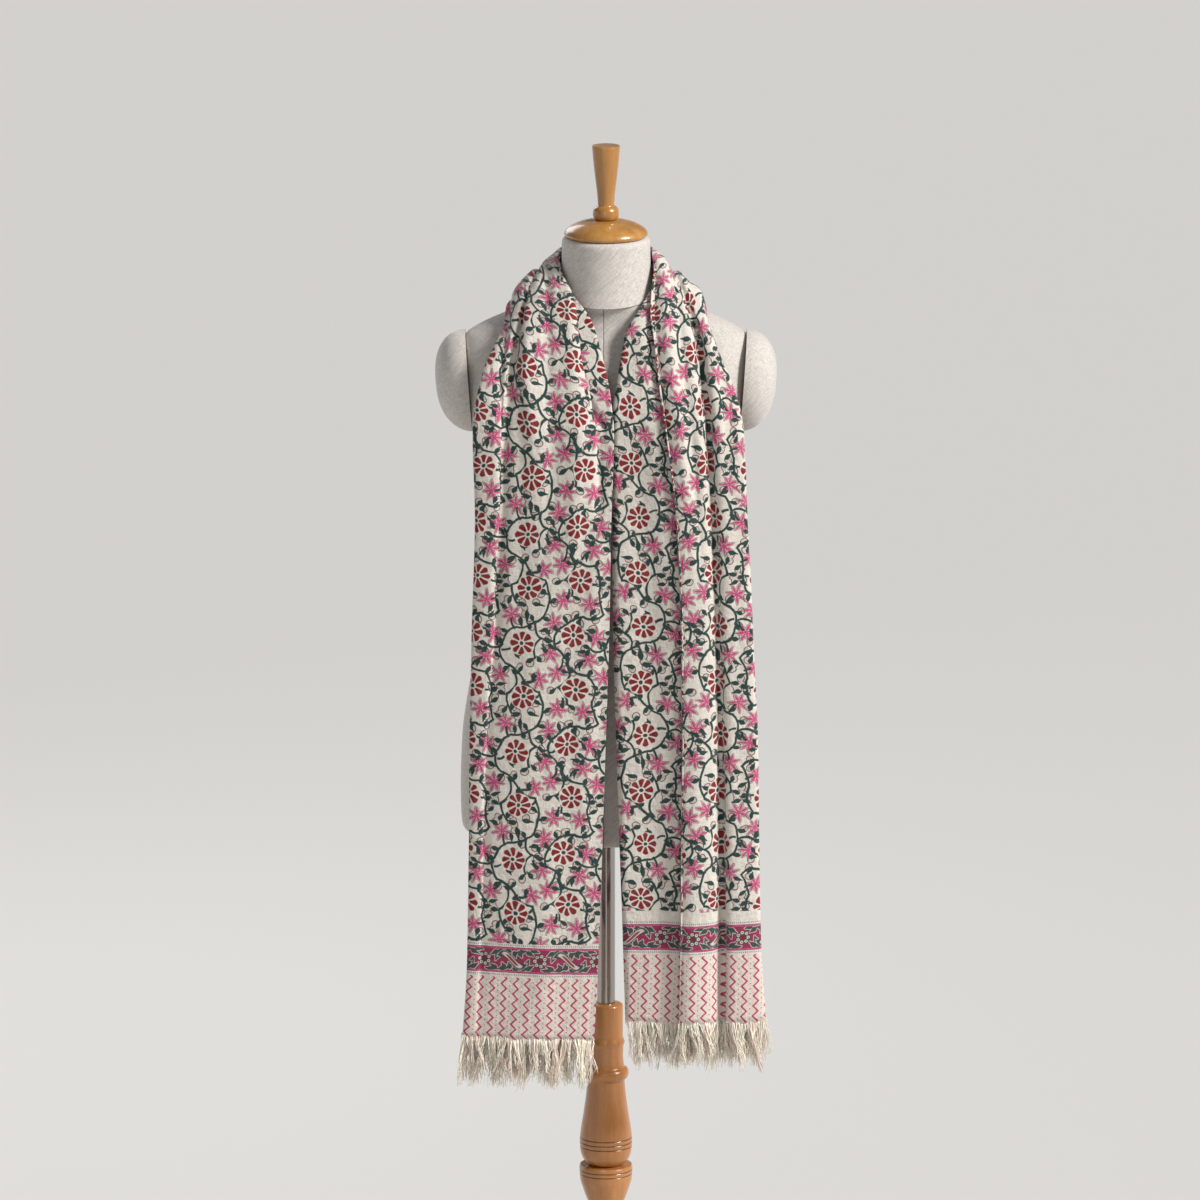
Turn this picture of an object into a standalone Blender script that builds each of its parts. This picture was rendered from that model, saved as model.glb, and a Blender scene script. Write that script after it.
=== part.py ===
"""A shawl hung round the neck of a linen-covered dress form on a turned wooden stand.

Metres, +Z up, the front faces -Y. The origin is on the floor under the pole. The shawl is one
rectangle of light cloth: its middle lies round the back of the neck and its two ends hang in
front. Each stretch is a thin wall through sections that are worked out from two tables, one row
for each section, and the cloth is folded in each section as a fan of pleats over hidden layers.
"""

import math
from collections import namedtuple

import bmesh
import bpy
import numpy as np

SEAM = 0.0003  # room between two pieces that meet

# ---------------------------------------------------------------- sizes of the form and the stand

BASE_RADIUS = 0.165
CUP_TOP = 0.2870
COLUMN_TOP = 0.4890
POLE_RADIUS = 0.0110
TORSO_BOTTOM = 0.7030
NECK_BASE = 1.3660
NECK_TOP = 1.4310
NECK_RADIUS = 0.0528
NECK_TILT = 0.20  # rise of the neckline seam from front to back, per metre
CAP_TOP = 1.4520
WAIST = 1.0500
ARMHOLE_BOTTOM = 1.1950
ARMHOLE_TOP = 1.3180
ARMHOLE_HALF_WIDTH = 0.1590  # from the middle of the form to the armhole's lowest point
ARMHOLE_SLANT = 0.0730  # the armhole leans outwards by this much for each metre of height
SHOULDER_CAP_REACH = 0.0400
SHOULDER_CAP_HALF_DEPTH = 0.0540

TorsoRing = namedtuple("TorsoRing", "height half_width front back square tilt")
TORSO = (
    TorsoRing(0.7030, 0.1620, 0.088, 0.100, 1.00, 0.00),
    TorsoRing(0.7060, 0.1690, 0.093, 0.106, 1.00, 0.00),
    TorsoRing(0.7160, 0.1735, 0.096, 0.110, 1.00, 0.00),
    TorsoRing(0.7600, 0.1750, 0.098, 0.113, 1.00, 0.00),
    TorsoRing(0.8200, 0.1730, 0.098, 0.114, 1.00, 0.00),
    TorsoRing(0.8800, 0.1650, 0.095, 0.110, 1.00, 0.00),
    TorsoRing(0.9400, 0.1510, 0.089, 0.098, 1.00, 0.00),
    TorsoRing(1.0000, 0.1350, 0.083, 0.086, 1.00, 0.00),
    TorsoRing(1.0500, 0.1290, 0.082, 0.080, 1.00, 0.00),
    TorsoRing(1.1000, 0.1340, 0.088, 0.080, 0.98, 0.00),
    TorsoRing(1.1450, 0.1450, 0.096, 0.083, 0.92, 0.00),
    TorsoRing(1.1900, 0.1590, 0.098, 0.086, 0.84, 0.00),
    TorsoRing(1.2300, 0.1700, 0.093, 0.086, 0.78, 0.00),
    TorsoRing(1.2650, 0.1740, 0.084, 0.082, 0.78, 0.00),
    TorsoRing(1.2950, 0.1730, 0.071, 0.072, 0.80, 0.00),
    TorsoRing(1.3120, 0.1680, 0.060, 0.062, 0.84, 0.02),
    TorsoRing(1.3240, 0.1520, 0.053, 0.054, 0.88, 0.04),
    TorsoRing(1.3400, 0.1150, 0.050, 0.050, 0.94, 0.10),
    TorsoRing(1.3530, 0.0850, 0.051, 0.051, 1.00, 0.15),
    TorsoRing(1.3660, 0.0600, 0.055, 0.055, 1.00, 0.20),
)

TurnedPoint = namedtuple("TurnedPoint", "height radius")
NECK_CAP = (
    TurnedPoint(NECK_TOP + SEAM, 0.0440),
    TurnedPoint(NECK_TOP + 0.0012, 0.0480),
    TurnedPoint(NECK_TOP + 0.0045, 0.0501),
    TurnedPoint(NECK_TOP + 0.0085, 0.0480),
    TurnedPoint(NECK_TOP + 0.0130, 0.0420),
    TurnedPoint(NECK_TOP + 0.0175, 0.0320),
    TurnedPoint(NECK_TOP + 0.0202, 0.0210),
    TurnedPoint(CAP_TOP, 0.0140),
)
FINIAL = (
    TurnedPoint(CAP_TOP + SEAM, 0.0132),
    TurnedPoint(CAP_TOP + 0.0025, 0.0149),
    TurnedPoint(CAP_TOP + 0.0065, 0.0158),
    TurnedPoint(CAP_TOP + 0.0110, 0.0153),
    TurnedPoint(CAP_TOP + 0.0150, 0.0132),
    TurnedPoint(CAP_TOP + 0.0180, 0.0098),
    TurnedPoint(CAP_TOP + 0.0300, 0.0106),
    TurnedPoint(CAP_TOP + 0.0520, 0.0132),
    TurnedPoint(CAP_TOP + 0.0700, 0.0152),
    TurnedPoint(CAP_TOP + 0.0875, 0.0167),
    TurnedPoint(CAP_TOP + 0.0893, 0.0163),
)
COLUMN = (
    TurnedPoint(CUP_TOP + SEAM, 0.0200),
    TurnedPoint(0.2905, 0.0245),
    TurnedPoint(0.2960, 0.0284),
    TurnedPoint(0.3050, 0.0311),
    TurnedPoint(0.3180, 0.0318),
    TurnedPoint(0.3330, 0.0303),
    TurnedPoint(0.3550, 0.0268),
    TurnedPoint(0.3800, 0.0236),
    TurnedPoint(0.3925, 0.0227),
    TurnedPoint(0.3965, 0.0262),
    TurnedPoint(0.4020, 0.0277),
    TurnedPoint(0.4070, 0.0262),
    TurnedPoint(0.4100, 0.0224),
    TurnedPoint(0.4230, 0.0209),
    TurnedPoint(0.4350, 0.0213),
    TurnedPoint(0.4400, 0.0227),
    TurnedPoint(0.4450, 0.0213),
    TurnedPoint(0.4480, 0.0206),
    TurnedPoint(0.4830, 0.0208),
    TurnedPoint(0.4870, 0.0198),
    TurnedPoint(COLUMN_TOP, 0.0165),
)
COLUMN_CUP = (
    TurnedPoint(0.0640 + SEAM, 0.0190),
    TurnedPoint(0.0800, 0.0172),
    TurnedPoint(0.1500, 0.0165),
    TurnedPoint(0.2200, 0.0172),
    TurnedPoint(0.2330, 0.0180),
    TurnedPoint(0.2400, 0.0215),
    TurnedPoint(0.2560, 0.0275),
    TurnedPoint(0.2700, 0.0314),
    TurnedPoint(0.2830, 0.0323),
    TurnedPoint(CUP_TOP, 0.0312),
)
BASE = (
    TurnedPoint(0.0000, BASE_RADIUS - 0.004),
    TurnedPoint(0.0040, BASE_RADIUS),
    TurnedPoint(0.0160, BASE_RADIUS),
    TurnedPoint(0.0220, BASE_RADIUS - 0.006),
    TurnedPoint(0.0270, BASE_RADIUS - 0.022),
    TurnedPoint(0.0330, 0.0900),
    TurnedPoint(0.0420, 0.0430),
    TurnedPoint(0.0560, 0.0290),
    TurnedPoint(0.0640, 0.0250),
)

# ---------------------------------------------------------------- the cloth

WALL = 0.0014  # thickness of the cloth
DROP_ROWS = 17  # sections in each front drop
NAPE_ROWS = 15  # sections in the stretch over the shoulders
SHOULDER = 2  # the row of each table that lies on the shoulder's ridge, where a drop begins

# A row is one section across the cloth. The inner edge lies towards the neck and the middle of
# the chest, the outer edge towards the arm. first and second are the two creases that show, as
# shares of the way from the inner edge to the outer one. The part beyond the first crease lies
# over the part before it by lap; the second crease is a valley. bundle picks how the hidden
# layers lie: 0 nape, 1 shoulder, 2 chest, 3 lower drop. Lengths below first are millimetres.
Section = namedtuple(
    "Section", "inner_x inner_y inner_z outer_x outer_y outer_z first second lap lift valley slope bundle"
)
MIRROR = np.array(Section(-1, 1, 1, -1, 1, 1, 1, 1, 1, 1, 1, 1, 1))  # turns left into right
LEFT = (
    Section(0.0000, 0.0640, 1.4150, 0.0000, 0.1180, 1.2500, 0.02, 0.36, 24, 7, 6, 12, 0.0),
    Section(-0.0450, 0.0430, 1.4160, -0.0970, 0.0850, 1.3035, 0.02, 0.38, 20, 7, 6, 11, 0.5),
    Section(-0.0546, 0.0000, 1.4080, -0.1175, 0.0000, 1.3515, 0.02, 0.40, 16, 7, 7, 9, 1.0),
    Section(-0.0500, -0.0300, 1.3910, -0.1230, -0.0400, 1.3310, 0.03, 0.58, 15, 8, 8, 9, 1.3),
    Section(-0.0312, -0.0590, 1.3690, -0.1344, -0.0680, 1.3085, 0.09, 0.70, 14, 9, 9, 9, 1.7),
    Section(-0.0170, -0.0760, 1.3430, -0.1450, -0.0840, 1.2850, 0.147, 0.725, 13, 9, 9, 9, 2.0),
    Section(-0.0048, -0.0940, 1.3045, -0.1536, -0.0980, 1.2560, 0.165, 0.735, 12, 9, 8, 9, 2.0),
    Section(0.0036, -0.1120, 1.2680, -0.1578, -0.1090, 1.2265, 0.135, 0.745, 7, 9, 7, 10, 2.0),
    Section(0.0068, -0.1225, 1.2420, -0.1583, -0.1130, 1.2080, 0.125, 0.753, -1, 7.5, 6, 11, 2.1),
    Section(0.0090, -0.1320, 1.2120, -0.1582, -0.1160, 1.1865, 0.12, 0.76, -10, 5, 5, 12, 2.2),
    Section(0.0060, -0.1400, 1.1070, -0.1560, -0.1210, 1.1025, 0.12, 0.78, -14, 1.5, 4, 13, 2.5),
    Section(0.0036, -0.1400, 0.9730, -0.1602, -0.1230, 0.9690, 0.12, 0.82, -14, 1, 3.5, 13, 3.0),
    Section(-0.0012, -0.1380, 0.8215, -0.1632, -0.1230, 0.8180, 0.12, 0.865, -14, 1, 3, 12, 3.0),
    Section(-0.0084, -0.1340, 0.5980, -0.1660, -0.1210, 0.5950, 0.12, 0.88, -14, 1, 2, 12, 3.0),
    Section(-0.0144, -0.1300, 0.4755, -0.1716, -0.1190, 0.4780, 0.12, 0.88, -14, 1, 1.5, 12, 3.0),
)
RIGHT = (
    Section(0.0000, 0.0640, 1.4150, 0.0000, 0.1180, 1.2500, 0.02, 0.36, 24, 7, 6, 12, 0.0),
    Section(0.0450, 0.0430, 1.4160, 0.0985, 0.0830, 1.3030, 0.02, 0.38, 20, 7, 6, 11, 0.5),
    Section(0.0546, 0.0000, 1.4080, 0.1175, 0.0000, 1.3515, 0.02, 0.40, 16, 7, 7, 9, 1.0),
    Section(0.0510, -0.0300, 1.3850, 0.1218, -0.0400, 1.3360, 0.04, 0.64, 14, 8, 8, 9, 1.3),
    Section(0.0348, -0.0610, 1.3550, 0.1314, -0.0680, 1.3170, 0.17, 0.755, 12, 9, 9, 9, 1.7),
    Section(0.0246, -0.0780, 1.3350, 0.1392, -0.0820, 1.2985, 0.26, 0.755, 11, 9, 9, 9, 2.0),
    Section(0.0186, -0.0930, 1.3065, 0.1524, -0.0960, 1.2655, 0.295, 0.71, 11, 9, 9, 9, 2.0),
    Section(0.0128, -0.1090, 1.2725, 0.1620, -0.1090, 1.2290, 0.335, 0.71, 12, 9, 9, 9, 2.0),
    Section(0.0078, -0.1240, 1.2295, 0.1650, -0.1170, 1.1865, 0.39, 0.725, 13, 9, 10, 9, 2.2),
    Section(0.0077, -0.1330, 1.1050, 0.1692, -0.1220, 1.1025, 0.458, 0.733, 14, 9, 10, 9, 2.6),
    Section(0.0090, -0.1340, 0.9715, 0.1752, -0.1240, 0.9690, 0.469, 0.733, 14, 9, 10, 9, 3.0),
    Section(0.0128, -0.1330, 0.8200, 0.1819, -0.1240, 0.8180, 0.446, 0.723, 14, 9, 10, 10, 3.0),
    Section(0.0192, -0.1300, 0.6300, 0.1848, -0.1220, 0.6280, 0.406, 0.717, 14, 9, 10, 13, 3.0),
    Section(0.0234, -0.1270, 0.4940, 0.1914, -0.1200, 0.4960, 0.37, 0.69, 12, 9, 11, 18, 3.0),
)

# How the hidden layers lie. Shares of the way across: edge, where the cloth's own inner edge is
# tucked; inner and outer, where the hidden layers turn; end, where the last one stops. Depths
# in millimetres under the layer that shows: roll, of the outer fold; belly, a quarter of the way
# in; stack, of the first hidden layer; gap, from one layer to the next. crown is how far the
# cloth swells out in its middle.
Bundle = namedtuple("Bundle", "edge inner outer end roll belly stack gap crown")
SHARED_BUNDLES = (
    Bundle(0.08, 0.26, 0.86, 0.40, 5.0, 9.5, 11.0, 3.4, 10.0),
    Bundle(0.12, 0.33, 0.66, 0.45, 3.0, 9.0, 12.0, 3.4, 9.0),
    Bundle(0.00, 0.10, 0.92, 0.30, 7.0, 13.5, 14.0, 4.6, 6.0),
)
LEFT_BUNDLES = SHARED_BUNDLES + (Bundle(0.00, 0.06, 0.95, 0.14, 6.0, 8.5, 9.0, 5.5, 5.0),)
RIGHT_BUNDLES = SHARED_BUNDLES + (Bundle(0.00, 0.06, 0.94, 0.38, 9.0, 15.0, 15.5, 5.0, 5.0),)

# ---------------------------------------------------------------- the fringe

FRINGE_STRIP = 0.006  # height of the strip that holds the locks
FRINGE_LENGTH = 0.052
LOCKS = 58  # on each end
LOCK_SHARE = 0.62  # of a lock's pitch that its root takes
LOCK_SWAY = 0.0040


def material(name, colour, roughness, metallic=0.0):
    """A plain finish with the part's own colour."""
    made = bpy.data.materials.new(name)
    made.use_nodes = True
    shader = made.node_tree.nodes["Principled BSDF"]
    shader.inputs["Base Color"].default_value = (*colour, 1.0)
    shader.inputs["Roughness"].default_value = roughness
    shader.inputs["Metallic"].default_value = metallic
    return made


def add_object(name, points, faces, finish, smooth_angle=40):
    """One named mesh object with its faces pointing out."""
    mesh = bpy.data.meshes.new(name)
    mesh.from_pydata([tuple(point) for point in points], [], faces)
    solid = bmesh.new()
    solid.from_mesh(mesh)
    bmesh.ops.recalc_face_normals(solid, faces=solid.faces)
    solid.to_mesh(mesh)
    solid.free()
    mesh.materials.append(finish)
    mesh.shade_smooth()
    mesh.set_sharp_from_angle(angle=math.radians(smooth_angle))
    made = bpy.data.objects.new(name, mesh)
    bpy.context.scene.collection.objects.link(made)
    return made


def skin_rings(rings):
    """Faces between closed rings of equally many points, with a flat face on each end."""
    count = len(rings[0])
    points = [point for ring in rings for point in ring]
    faces = []
    for row in range(len(rings) - 1):
        for place in range(count):
            after = (place + 1) % count
            low = row * count
            high = low + count
            faces.append((low + place, low + after, high + after, high + place))
    faces.append(tuple(range(count - 1, -1, -1)))
    faces.append(tuple(range(len(points) - count, len(points))))
    return points, faces


def turned(name, profile, sides, finish):
    """A solid turned on the stand's axis from a profile of heights and radii."""
    rings = []
    for height, radius in profile:
        turns = [2 * math.pi * side / sides for side in range(sides)]
        rings.append([(radius * math.cos(turn), radius * math.sin(turn), height) for turn in turns])
    return add_object(name, *skin_rings(rings), finish)


# ---------------------------------------------------------------- the form


def signed_power(value, power):
    return math.copysign(abs(value) ** power, value)


def armhole_half_width(height):
    """How far from the middle the flat armhole is, at this height."""
    return ARMHOLE_HALF_WIDTH + ARMHOLE_SLANT * (height - ARMHOLE_BOTTOM)


def torso_ring(row, sides):
    """One rounded section of the torso, above the waist cut off flat where the armholes are."""
    flat = armhole_half_width(row.height) if row.height > WAIST else row.half_width
    ring = []
    for side in range(sides):
        turn = 2 * math.pi * side / sides
        x = row.half_width * signed_power(math.cos(turn), row.square)
        depth = row.front if math.sin(turn) < 0 else row.back
        y = depth * signed_power(math.sin(turn), row.square)
        ring.append((max(-flat, min(flat, x)), y, row.height + row.tilt * y))
    return ring


def add_torso(finish, sides=28):
    rings = [torso_ring(row, sides) for row in TORSO]
    return add_object("form_torso", *skin_rings(rings), finish)


def add_neck(finish, sides=28):
    """The neck block: its foot follows the sloping neckline seam, its top is level."""
    profile = (
        (NECK_BASE + SEAM, 0.0592, NECK_TILT),
        (1.3780, 0.0560, 0.14),
        (1.3950, 0.0538, 0.07),
        (1.4120, NECK_RADIUS, 0.02),
        (1.4240, NECK_RADIUS, 0.00),
        (1.4290, 0.0512, 0.00),
        (NECK_TOP, 0.0480, 0.00),
    )
    rings = []
    for height, radius, tilt in profile:
        ring = []
        for side in range(sides):
            turn = 2 * math.pi * side / sides
            y = radius * math.sin(turn)
            ring.append((radius * math.cos(turn), y, height + tilt * y))
        rings.append(ring)
    return add_object("form_neck", *skin_rings(rings), finish)


def add_shoulder_cap(name, side, finish, sides=20, rings_out=6):
    """A rounded cap on one armhole, side -1 at the viewer's left and 1 at the right."""
    middle = (ARMHOLE_TOP + ARMHOLE_BOTTOM) / 2
    half_height = (ARMHOLE_TOP - ARMHOLE_BOTTOM) / 2
    rings = []
    for row in range(rings_out):
        quarter = 0.5 * math.pi * row / rings_out
        scale = math.cos(quarter) ** 0.8
        reach = SEAM + SHOULDER_CAP_REACH * math.sin(quarter)
        ring = []
        for place in range(sides):
            turn = 2 * math.pi * place / sides
            height = middle + half_height * scale * math.sin(turn)
            depth = SHOULDER_CAP_HALF_DEPTH * scale * math.cos(turn)
            ring.append((side * (armhole_half_width(height) + reach), depth, height))
        rings.append(ring)
    return add_object(name, *skin_rings(rings), finish)


# ---------------------------------------------------------------- the cloth


def read_between(rows, at):
    """The table's values at a place between two rows, on a smooth curve through all rows.

    The first row is the middle of the nape, past which the cloth goes on as on this side.
    """
    table = np.array(rows, dtype=float)
    low = int(min(max(math.floor(at), 0), len(table) - 2))
    share = at - low
    before = table[low - 1] if low > 0 else table[1] * MIRROR
    start = table[low]
    end = table[low + 1]
    after = table[min(low + 2, len(table) - 1)]
    leave = (end - before) / 2
    arrive = (after - start) / 2
    square = share * share
    cube = square * share
    return (
        (2 * cube - 3 * square + 1) * start
        + (cube - 2 * square + share) * leave
        + (3 * square - 2 * cube) * end
        + (cube - square) * arrive
    )


def read_linear(rows, at):
    """The table's values at a place between two rows, straight from one to the next."""
    table = np.array(rows, dtype=float)
    low = int(min(max(math.floor(at), 0), len(table) - 2))
    share = at - low
    return table[low] * (1 - share) + table[low + 1] * share


def fold_outline(section, bundle, width):
    """The folded cloth in one section, as corners (share of the way across, depth in metres)."""
    mm = 0.001
    lap = section.lap * mm / width
    slope = section.slope * mm / width
    step = 2.5 * mm / width
    lift = section.lift * mm
    under = section.first + lap
    spread = max(-lap, 0) / 3
    ramp = min(max(1 - section.lap / 12, 0), 1) / 6
    valley = section.valley * mm
    stack = bundle.stack * mm
    gap = bundle.gap * mm
    middle_part = (section.first + section.second - slope) / 2
    outer_part = (section.second + 2 * step + 1) / 2
    return (
        (bundle.edge, lift * 0.85),
        (bundle.edge + (under - bundle.edge) * 0.4, lift * 0.95),
        (under, lift),
        (under + spread, lift * (0.5 + ramp)),
        (section.first - spread, lift * (0.5 - ramp)),
        (section.first, 0.0),
        (middle_part, -0.0015),
        (section.second - slope, 0.0),
        (section.second, valley),
        (section.second + step, valley),
        (section.second + 2 * step, 0.0),
        (outer_part, -0.0005),
        (1.0, 0.0005),
        (1.0, bundle.roll * mm),
        (0.76, bundle.belly * mm),
        (bundle.inner, stack),
        (bundle.inner, stack + gap),
        (bundle.outer, stack + gap * 0.8),
        (bundle.outer, stack + gap * 1.8),
        (bundle.end, stack + gap * 2),
    )


def round_corners(corners):
    """Cuts each corner once, a quarter of the way along its two sides."""
    corners = np.array(corners, dtype=float)
    rounded = [corners[0]]
    for start, end in zip(corners[:-1], corners[1:]):
        rounded.append(start * 0.75 + end * 0.25)
        rounded.append(start * 0.25 + end * 0.75)
    rounded.append(corners[-1])
    return np.array(rounded)


def section_path(rows, at, side):
    """The middle of the wall in one section, and the way that its depth points."""
    section = Section(*read_between(rows, at))
    inner = np.array([section.inner_x, section.inner_y, section.inner_z])
    outer = np.array([section.outer_x, section.outer_y, section.outer_z])
    width = np.linalg.norm(outer - inner)
    across = (outer - inner) / width
    step = 0.05
    ahead = read_between(rows, min(at + step, len(rows) - 1))
    behind = read_between(rows, max(at - step, 0))
    if at < step:
        behind = ahead * MIRROR
    along = (ahead[:3] + ahead[3:6]) - (behind[:3] + behind[3:6])
    outward = np.cross(across, along) * -side
    outward /= np.linalg.norm(outward)
    bundle = Bundle(*read_linear(LEFT_BUNDLES if side < 0 else RIGHT_BUNDLES, section.bundle))
    path = []
    for share, depth in round_corners(fold_outline(section, bundle, width)):
        swell = bundle.crown * 0.001 * 4 * share * (1 - share)
        path.append(inner + across * share * width + outward * (swell - depth))
    return np.array(path), across, outward


def wall_ring(path, across, outward, thickness):
    """The outline of the wall in one section: its path moved out on one side and in on the other."""
    flat = np.stack([(path - path[0]) @ across, (path - path[0]) @ outward], axis=1)
    ends = np.concatenate([flat[:1], flat[:-1]]), np.concatenate([flat[1:], flat[-1:]])
    tangents = ends[1] - ends[0]
    tangents /= np.linalg.norm(tangents, axis=1)[:, None]
    move = tangents[:, 1:] * across - tangents[:, :1] * outward
    half = thickness / 2
    return np.concatenate([path + move * half, (path - move * half)[::-1]])


def stretch_places(count, first, last):
    """Places along a table, evenly between two rows."""
    return [first + (last - first) * row / (count - 1) for row in range(count)]


def cloth_rings(rows, places, side):
    """The wall's outline at each of these places."""
    return [wall_ring(*section_path(rows, place, side), WALL) for place in places]


def pulled_back(rings, amount):
    """The same rings with the first one moved along the cloth, which opens a seam there."""
    step = rings[1] - rings[0]
    length = np.linalg.norm(step, axis=1)[:, None]
    return [rings[0] + step / length * amount] + rings[1:]


def skin_wall(rings):
    """A closed skin over the wall's rings: each ring is a long, thin outline of the wall.

    Both sides of the wall are cut into triangles along the same diagonals, so they stay parallel.
    """
    count = len(rings[0])
    half = count // 2
    points = [point for ring in rings for point in ring]
    faces = []
    for row in range(len(rings) - 1):
        low = row * count
        high = low + count
        for place in range(count):
            after = (place + 1) % count
            if place < half:
                faces.append((low + place, low + after, high + after))
                faces.append((low + place, high + after, high + place))
            else:
                faces.append((low + place, low + after, high + place))
                faces.append((low + after, high + after, high + place))
    last = len(points) - count
    for place in range(half - 1):
        across = count - 1 - place
        faces.append((place, across, across - 1, place + 1))
        faces.append((last + place, last + place + 1, last + across - 1, last + across))
    return points, faces


def add_drop(name, rows, side, finish):
    """One front drop, from the shoulder's ridge to its hem."""
    places = stretch_places(DROP_ROWS, SHOULDER, len(rows) - 1)
    rings = pulled_back(cloth_rings(rows, places, side), SEAM)
    return add_object(name, *skin_wall(rings), finish)


def add_nape(finish):
    """The stretch from one shoulder's ridge round the back of the neck to the other."""
    half_rows = NAPE_ROWS // 2 + 1
    to_left = cloth_rings(LEFT, stretch_places(half_rows, 0, SHOULDER), -1)
    to_right = cloth_rings(RIGHT, stretch_places(half_rows, 0, SHOULDER), 1)
    return add_object("shawl_nape", *skin_wall(to_left[::-1] + to_right[1:]), finish)


# ---------------------------------------------------------------- the fringe


def resample(path, places):
    """Points of a path at these distances from its start."""
    steps = np.linalg.norm(np.diff(path, axis=0), axis=1)
    reached = np.concatenate([[0], np.cumsum(steps)])
    return np.stack([np.interp(places, reached, path[:, axis]) for axis in range(3)], axis=1)


def add_fringe(name, rows, side, finish):
    """A narrow strip under a hem with a row of locks that hang from it."""
    path, across, outward = section_path(rows, len(rows) - 1, side)
    length = np.linalg.norm(np.diff(path, axis=0), axis=1).sum()
    pitch = length / LOCKS
    root = pitch * LOCK_SHARE
    places = []
    for lock in range(LOCKS):
        start = lock * pitch + (pitch - root) / 2
        places += [start, start + root]
    strip = resample(path, places)
    top = wall_ring(strip, across, outward, WALL) - np.array([0, 0, SEAM])
    bottom = top - np.array([0, 0, FRINGE_STRIP])
    points, faces = skin_wall([top, bottom])
    points = [np.array(point) for point in points]
    count = len(top)
    for lock in range(LOCKS):
        left, right = 2 * lock, 2 * lock + 1
        corners = (left, right, count - 1 - right, count - 1 - left)
        mouth = [count + corner for corner in corners]
        faces = [face for face in faces if set(face) != set(mouth)]
        add_lock(points, faces, mouth, lock, across, outward)
    return add_object(name, points, faces, finish)


def add_lock(points, faces, mouth, lock, across, outward):
    """One tapering lock of four sides, drawn down from its root face in the strip."""
    sway = LOCK_SWAY * math.sin(1.7 * lock) * across + 0.4 * LOCK_SWAY * math.sin(2.3 * lock) * outward
    length = FRINGE_LENGTH * (0.90 + 0.10 * math.sin(3.1 * lock + 0.6))
    centre = sum(points[corner] for corner in mouth) / 4
    ring = mouth
    for fall, width, thick in ((0.45, 0.80, 1.0), (1.0, 0.30, 0.7)):
        moved = []
        for corner in mouth:
            offset = points[corner] - centre
            along = across * (offset @ across)
            narrowed = along * width + (offset - along) * thick
            moved.append(centre + narrowed + sway * fall * fall - np.array([0, 0, length * fall]))
        after = list(range(len(points), len(points) + 4))
        points.extend(moved)
        for place in range(4):
            turn = (place + 1) % 4
            faces.append((ring[place], ring[turn], after[turn], after[place]))
        ring = after
    faces.append(tuple(ring))


# ---------------------------------------------------------------- the whole object


def build():
    for old in list(bpy.data.objects):
        bpy.data.objects.remove(old)

    cloth = material("printed cloth", (0.70, 0.66, 0.62), 0.85)
    thread = material("frayed thread", (0.72, 0.66, 0.58), 0.9)
    linen = material("linen", (0.62, 0.58, 0.54), 0.9)
    wood = material("turned wood", (0.50, 0.26, 0.09), 0.3)
    steel = material("steel", (0.60, 0.58, 0.56), 0.2, 1.0)

    add_drop("shawl_left_drop", LEFT, -1, cloth)
    add_drop("shawl_right_drop", RIGHT, 1, cloth)
    add_nape(cloth)
    add_fringe("fringe_left", LEFT, -1, thread)
    add_fringe("fringe_right", RIGHT, 1, thread)

    add_torso(linen)
    add_neck(linen)
    add_shoulder_cap("form_shoulder_cap_left", -1, linen)
    add_shoulder_cap("form_shoulder_cap_right", 1, linen)

    turned("neck_cap", NECK_CAP, 28, wood)
    turned("finial", FINIAL, 20, wood)
    turned("column", COLUMN, 24, wood)
    turned("column_cup", COLUMN_CUP, 24, wood)
    turned("base", BASE, 36, wood)
    pole = (
        TurnedPoint(COLUMN_TOP + SEAM, POLE_RADIUS),
        TurnedPoint(TORSO_BOTTOM - SEAM, POLE_RADIUS),
    )
    turned("pole", pole, 20, steel)


build()
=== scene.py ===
"""Looks of the shawl and its dress form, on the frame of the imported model.

Metres, +Z up, the front faces -Y. The cloth is one rectangle: each half of it is laid through the
same sections as its solids, on finer and softer curves, and the print is worked out by the shader
from each point's place on the flat cloth.
"""

import functools
import math
import random
from collections import namedtuple

import bpy
import numpy as np
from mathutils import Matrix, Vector


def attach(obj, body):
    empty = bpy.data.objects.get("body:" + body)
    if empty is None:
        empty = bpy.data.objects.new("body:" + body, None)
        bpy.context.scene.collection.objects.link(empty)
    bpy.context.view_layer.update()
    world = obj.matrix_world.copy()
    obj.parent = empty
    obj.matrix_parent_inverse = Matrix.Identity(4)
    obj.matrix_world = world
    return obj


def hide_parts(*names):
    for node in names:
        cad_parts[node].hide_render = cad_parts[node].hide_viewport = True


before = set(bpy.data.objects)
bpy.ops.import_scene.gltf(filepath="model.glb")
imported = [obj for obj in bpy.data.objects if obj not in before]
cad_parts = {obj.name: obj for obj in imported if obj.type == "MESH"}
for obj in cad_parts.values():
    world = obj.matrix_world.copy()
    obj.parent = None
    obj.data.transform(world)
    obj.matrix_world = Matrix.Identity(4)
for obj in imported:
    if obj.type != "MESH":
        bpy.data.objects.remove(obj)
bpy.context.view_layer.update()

MM = 0.001


def table(kind, *rows):
    """Rows of numbers with named columns."""
    return tuple(kind(*row) for row in rows)


# ---------------------------------------------------------------- the sections of the cloth

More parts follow.
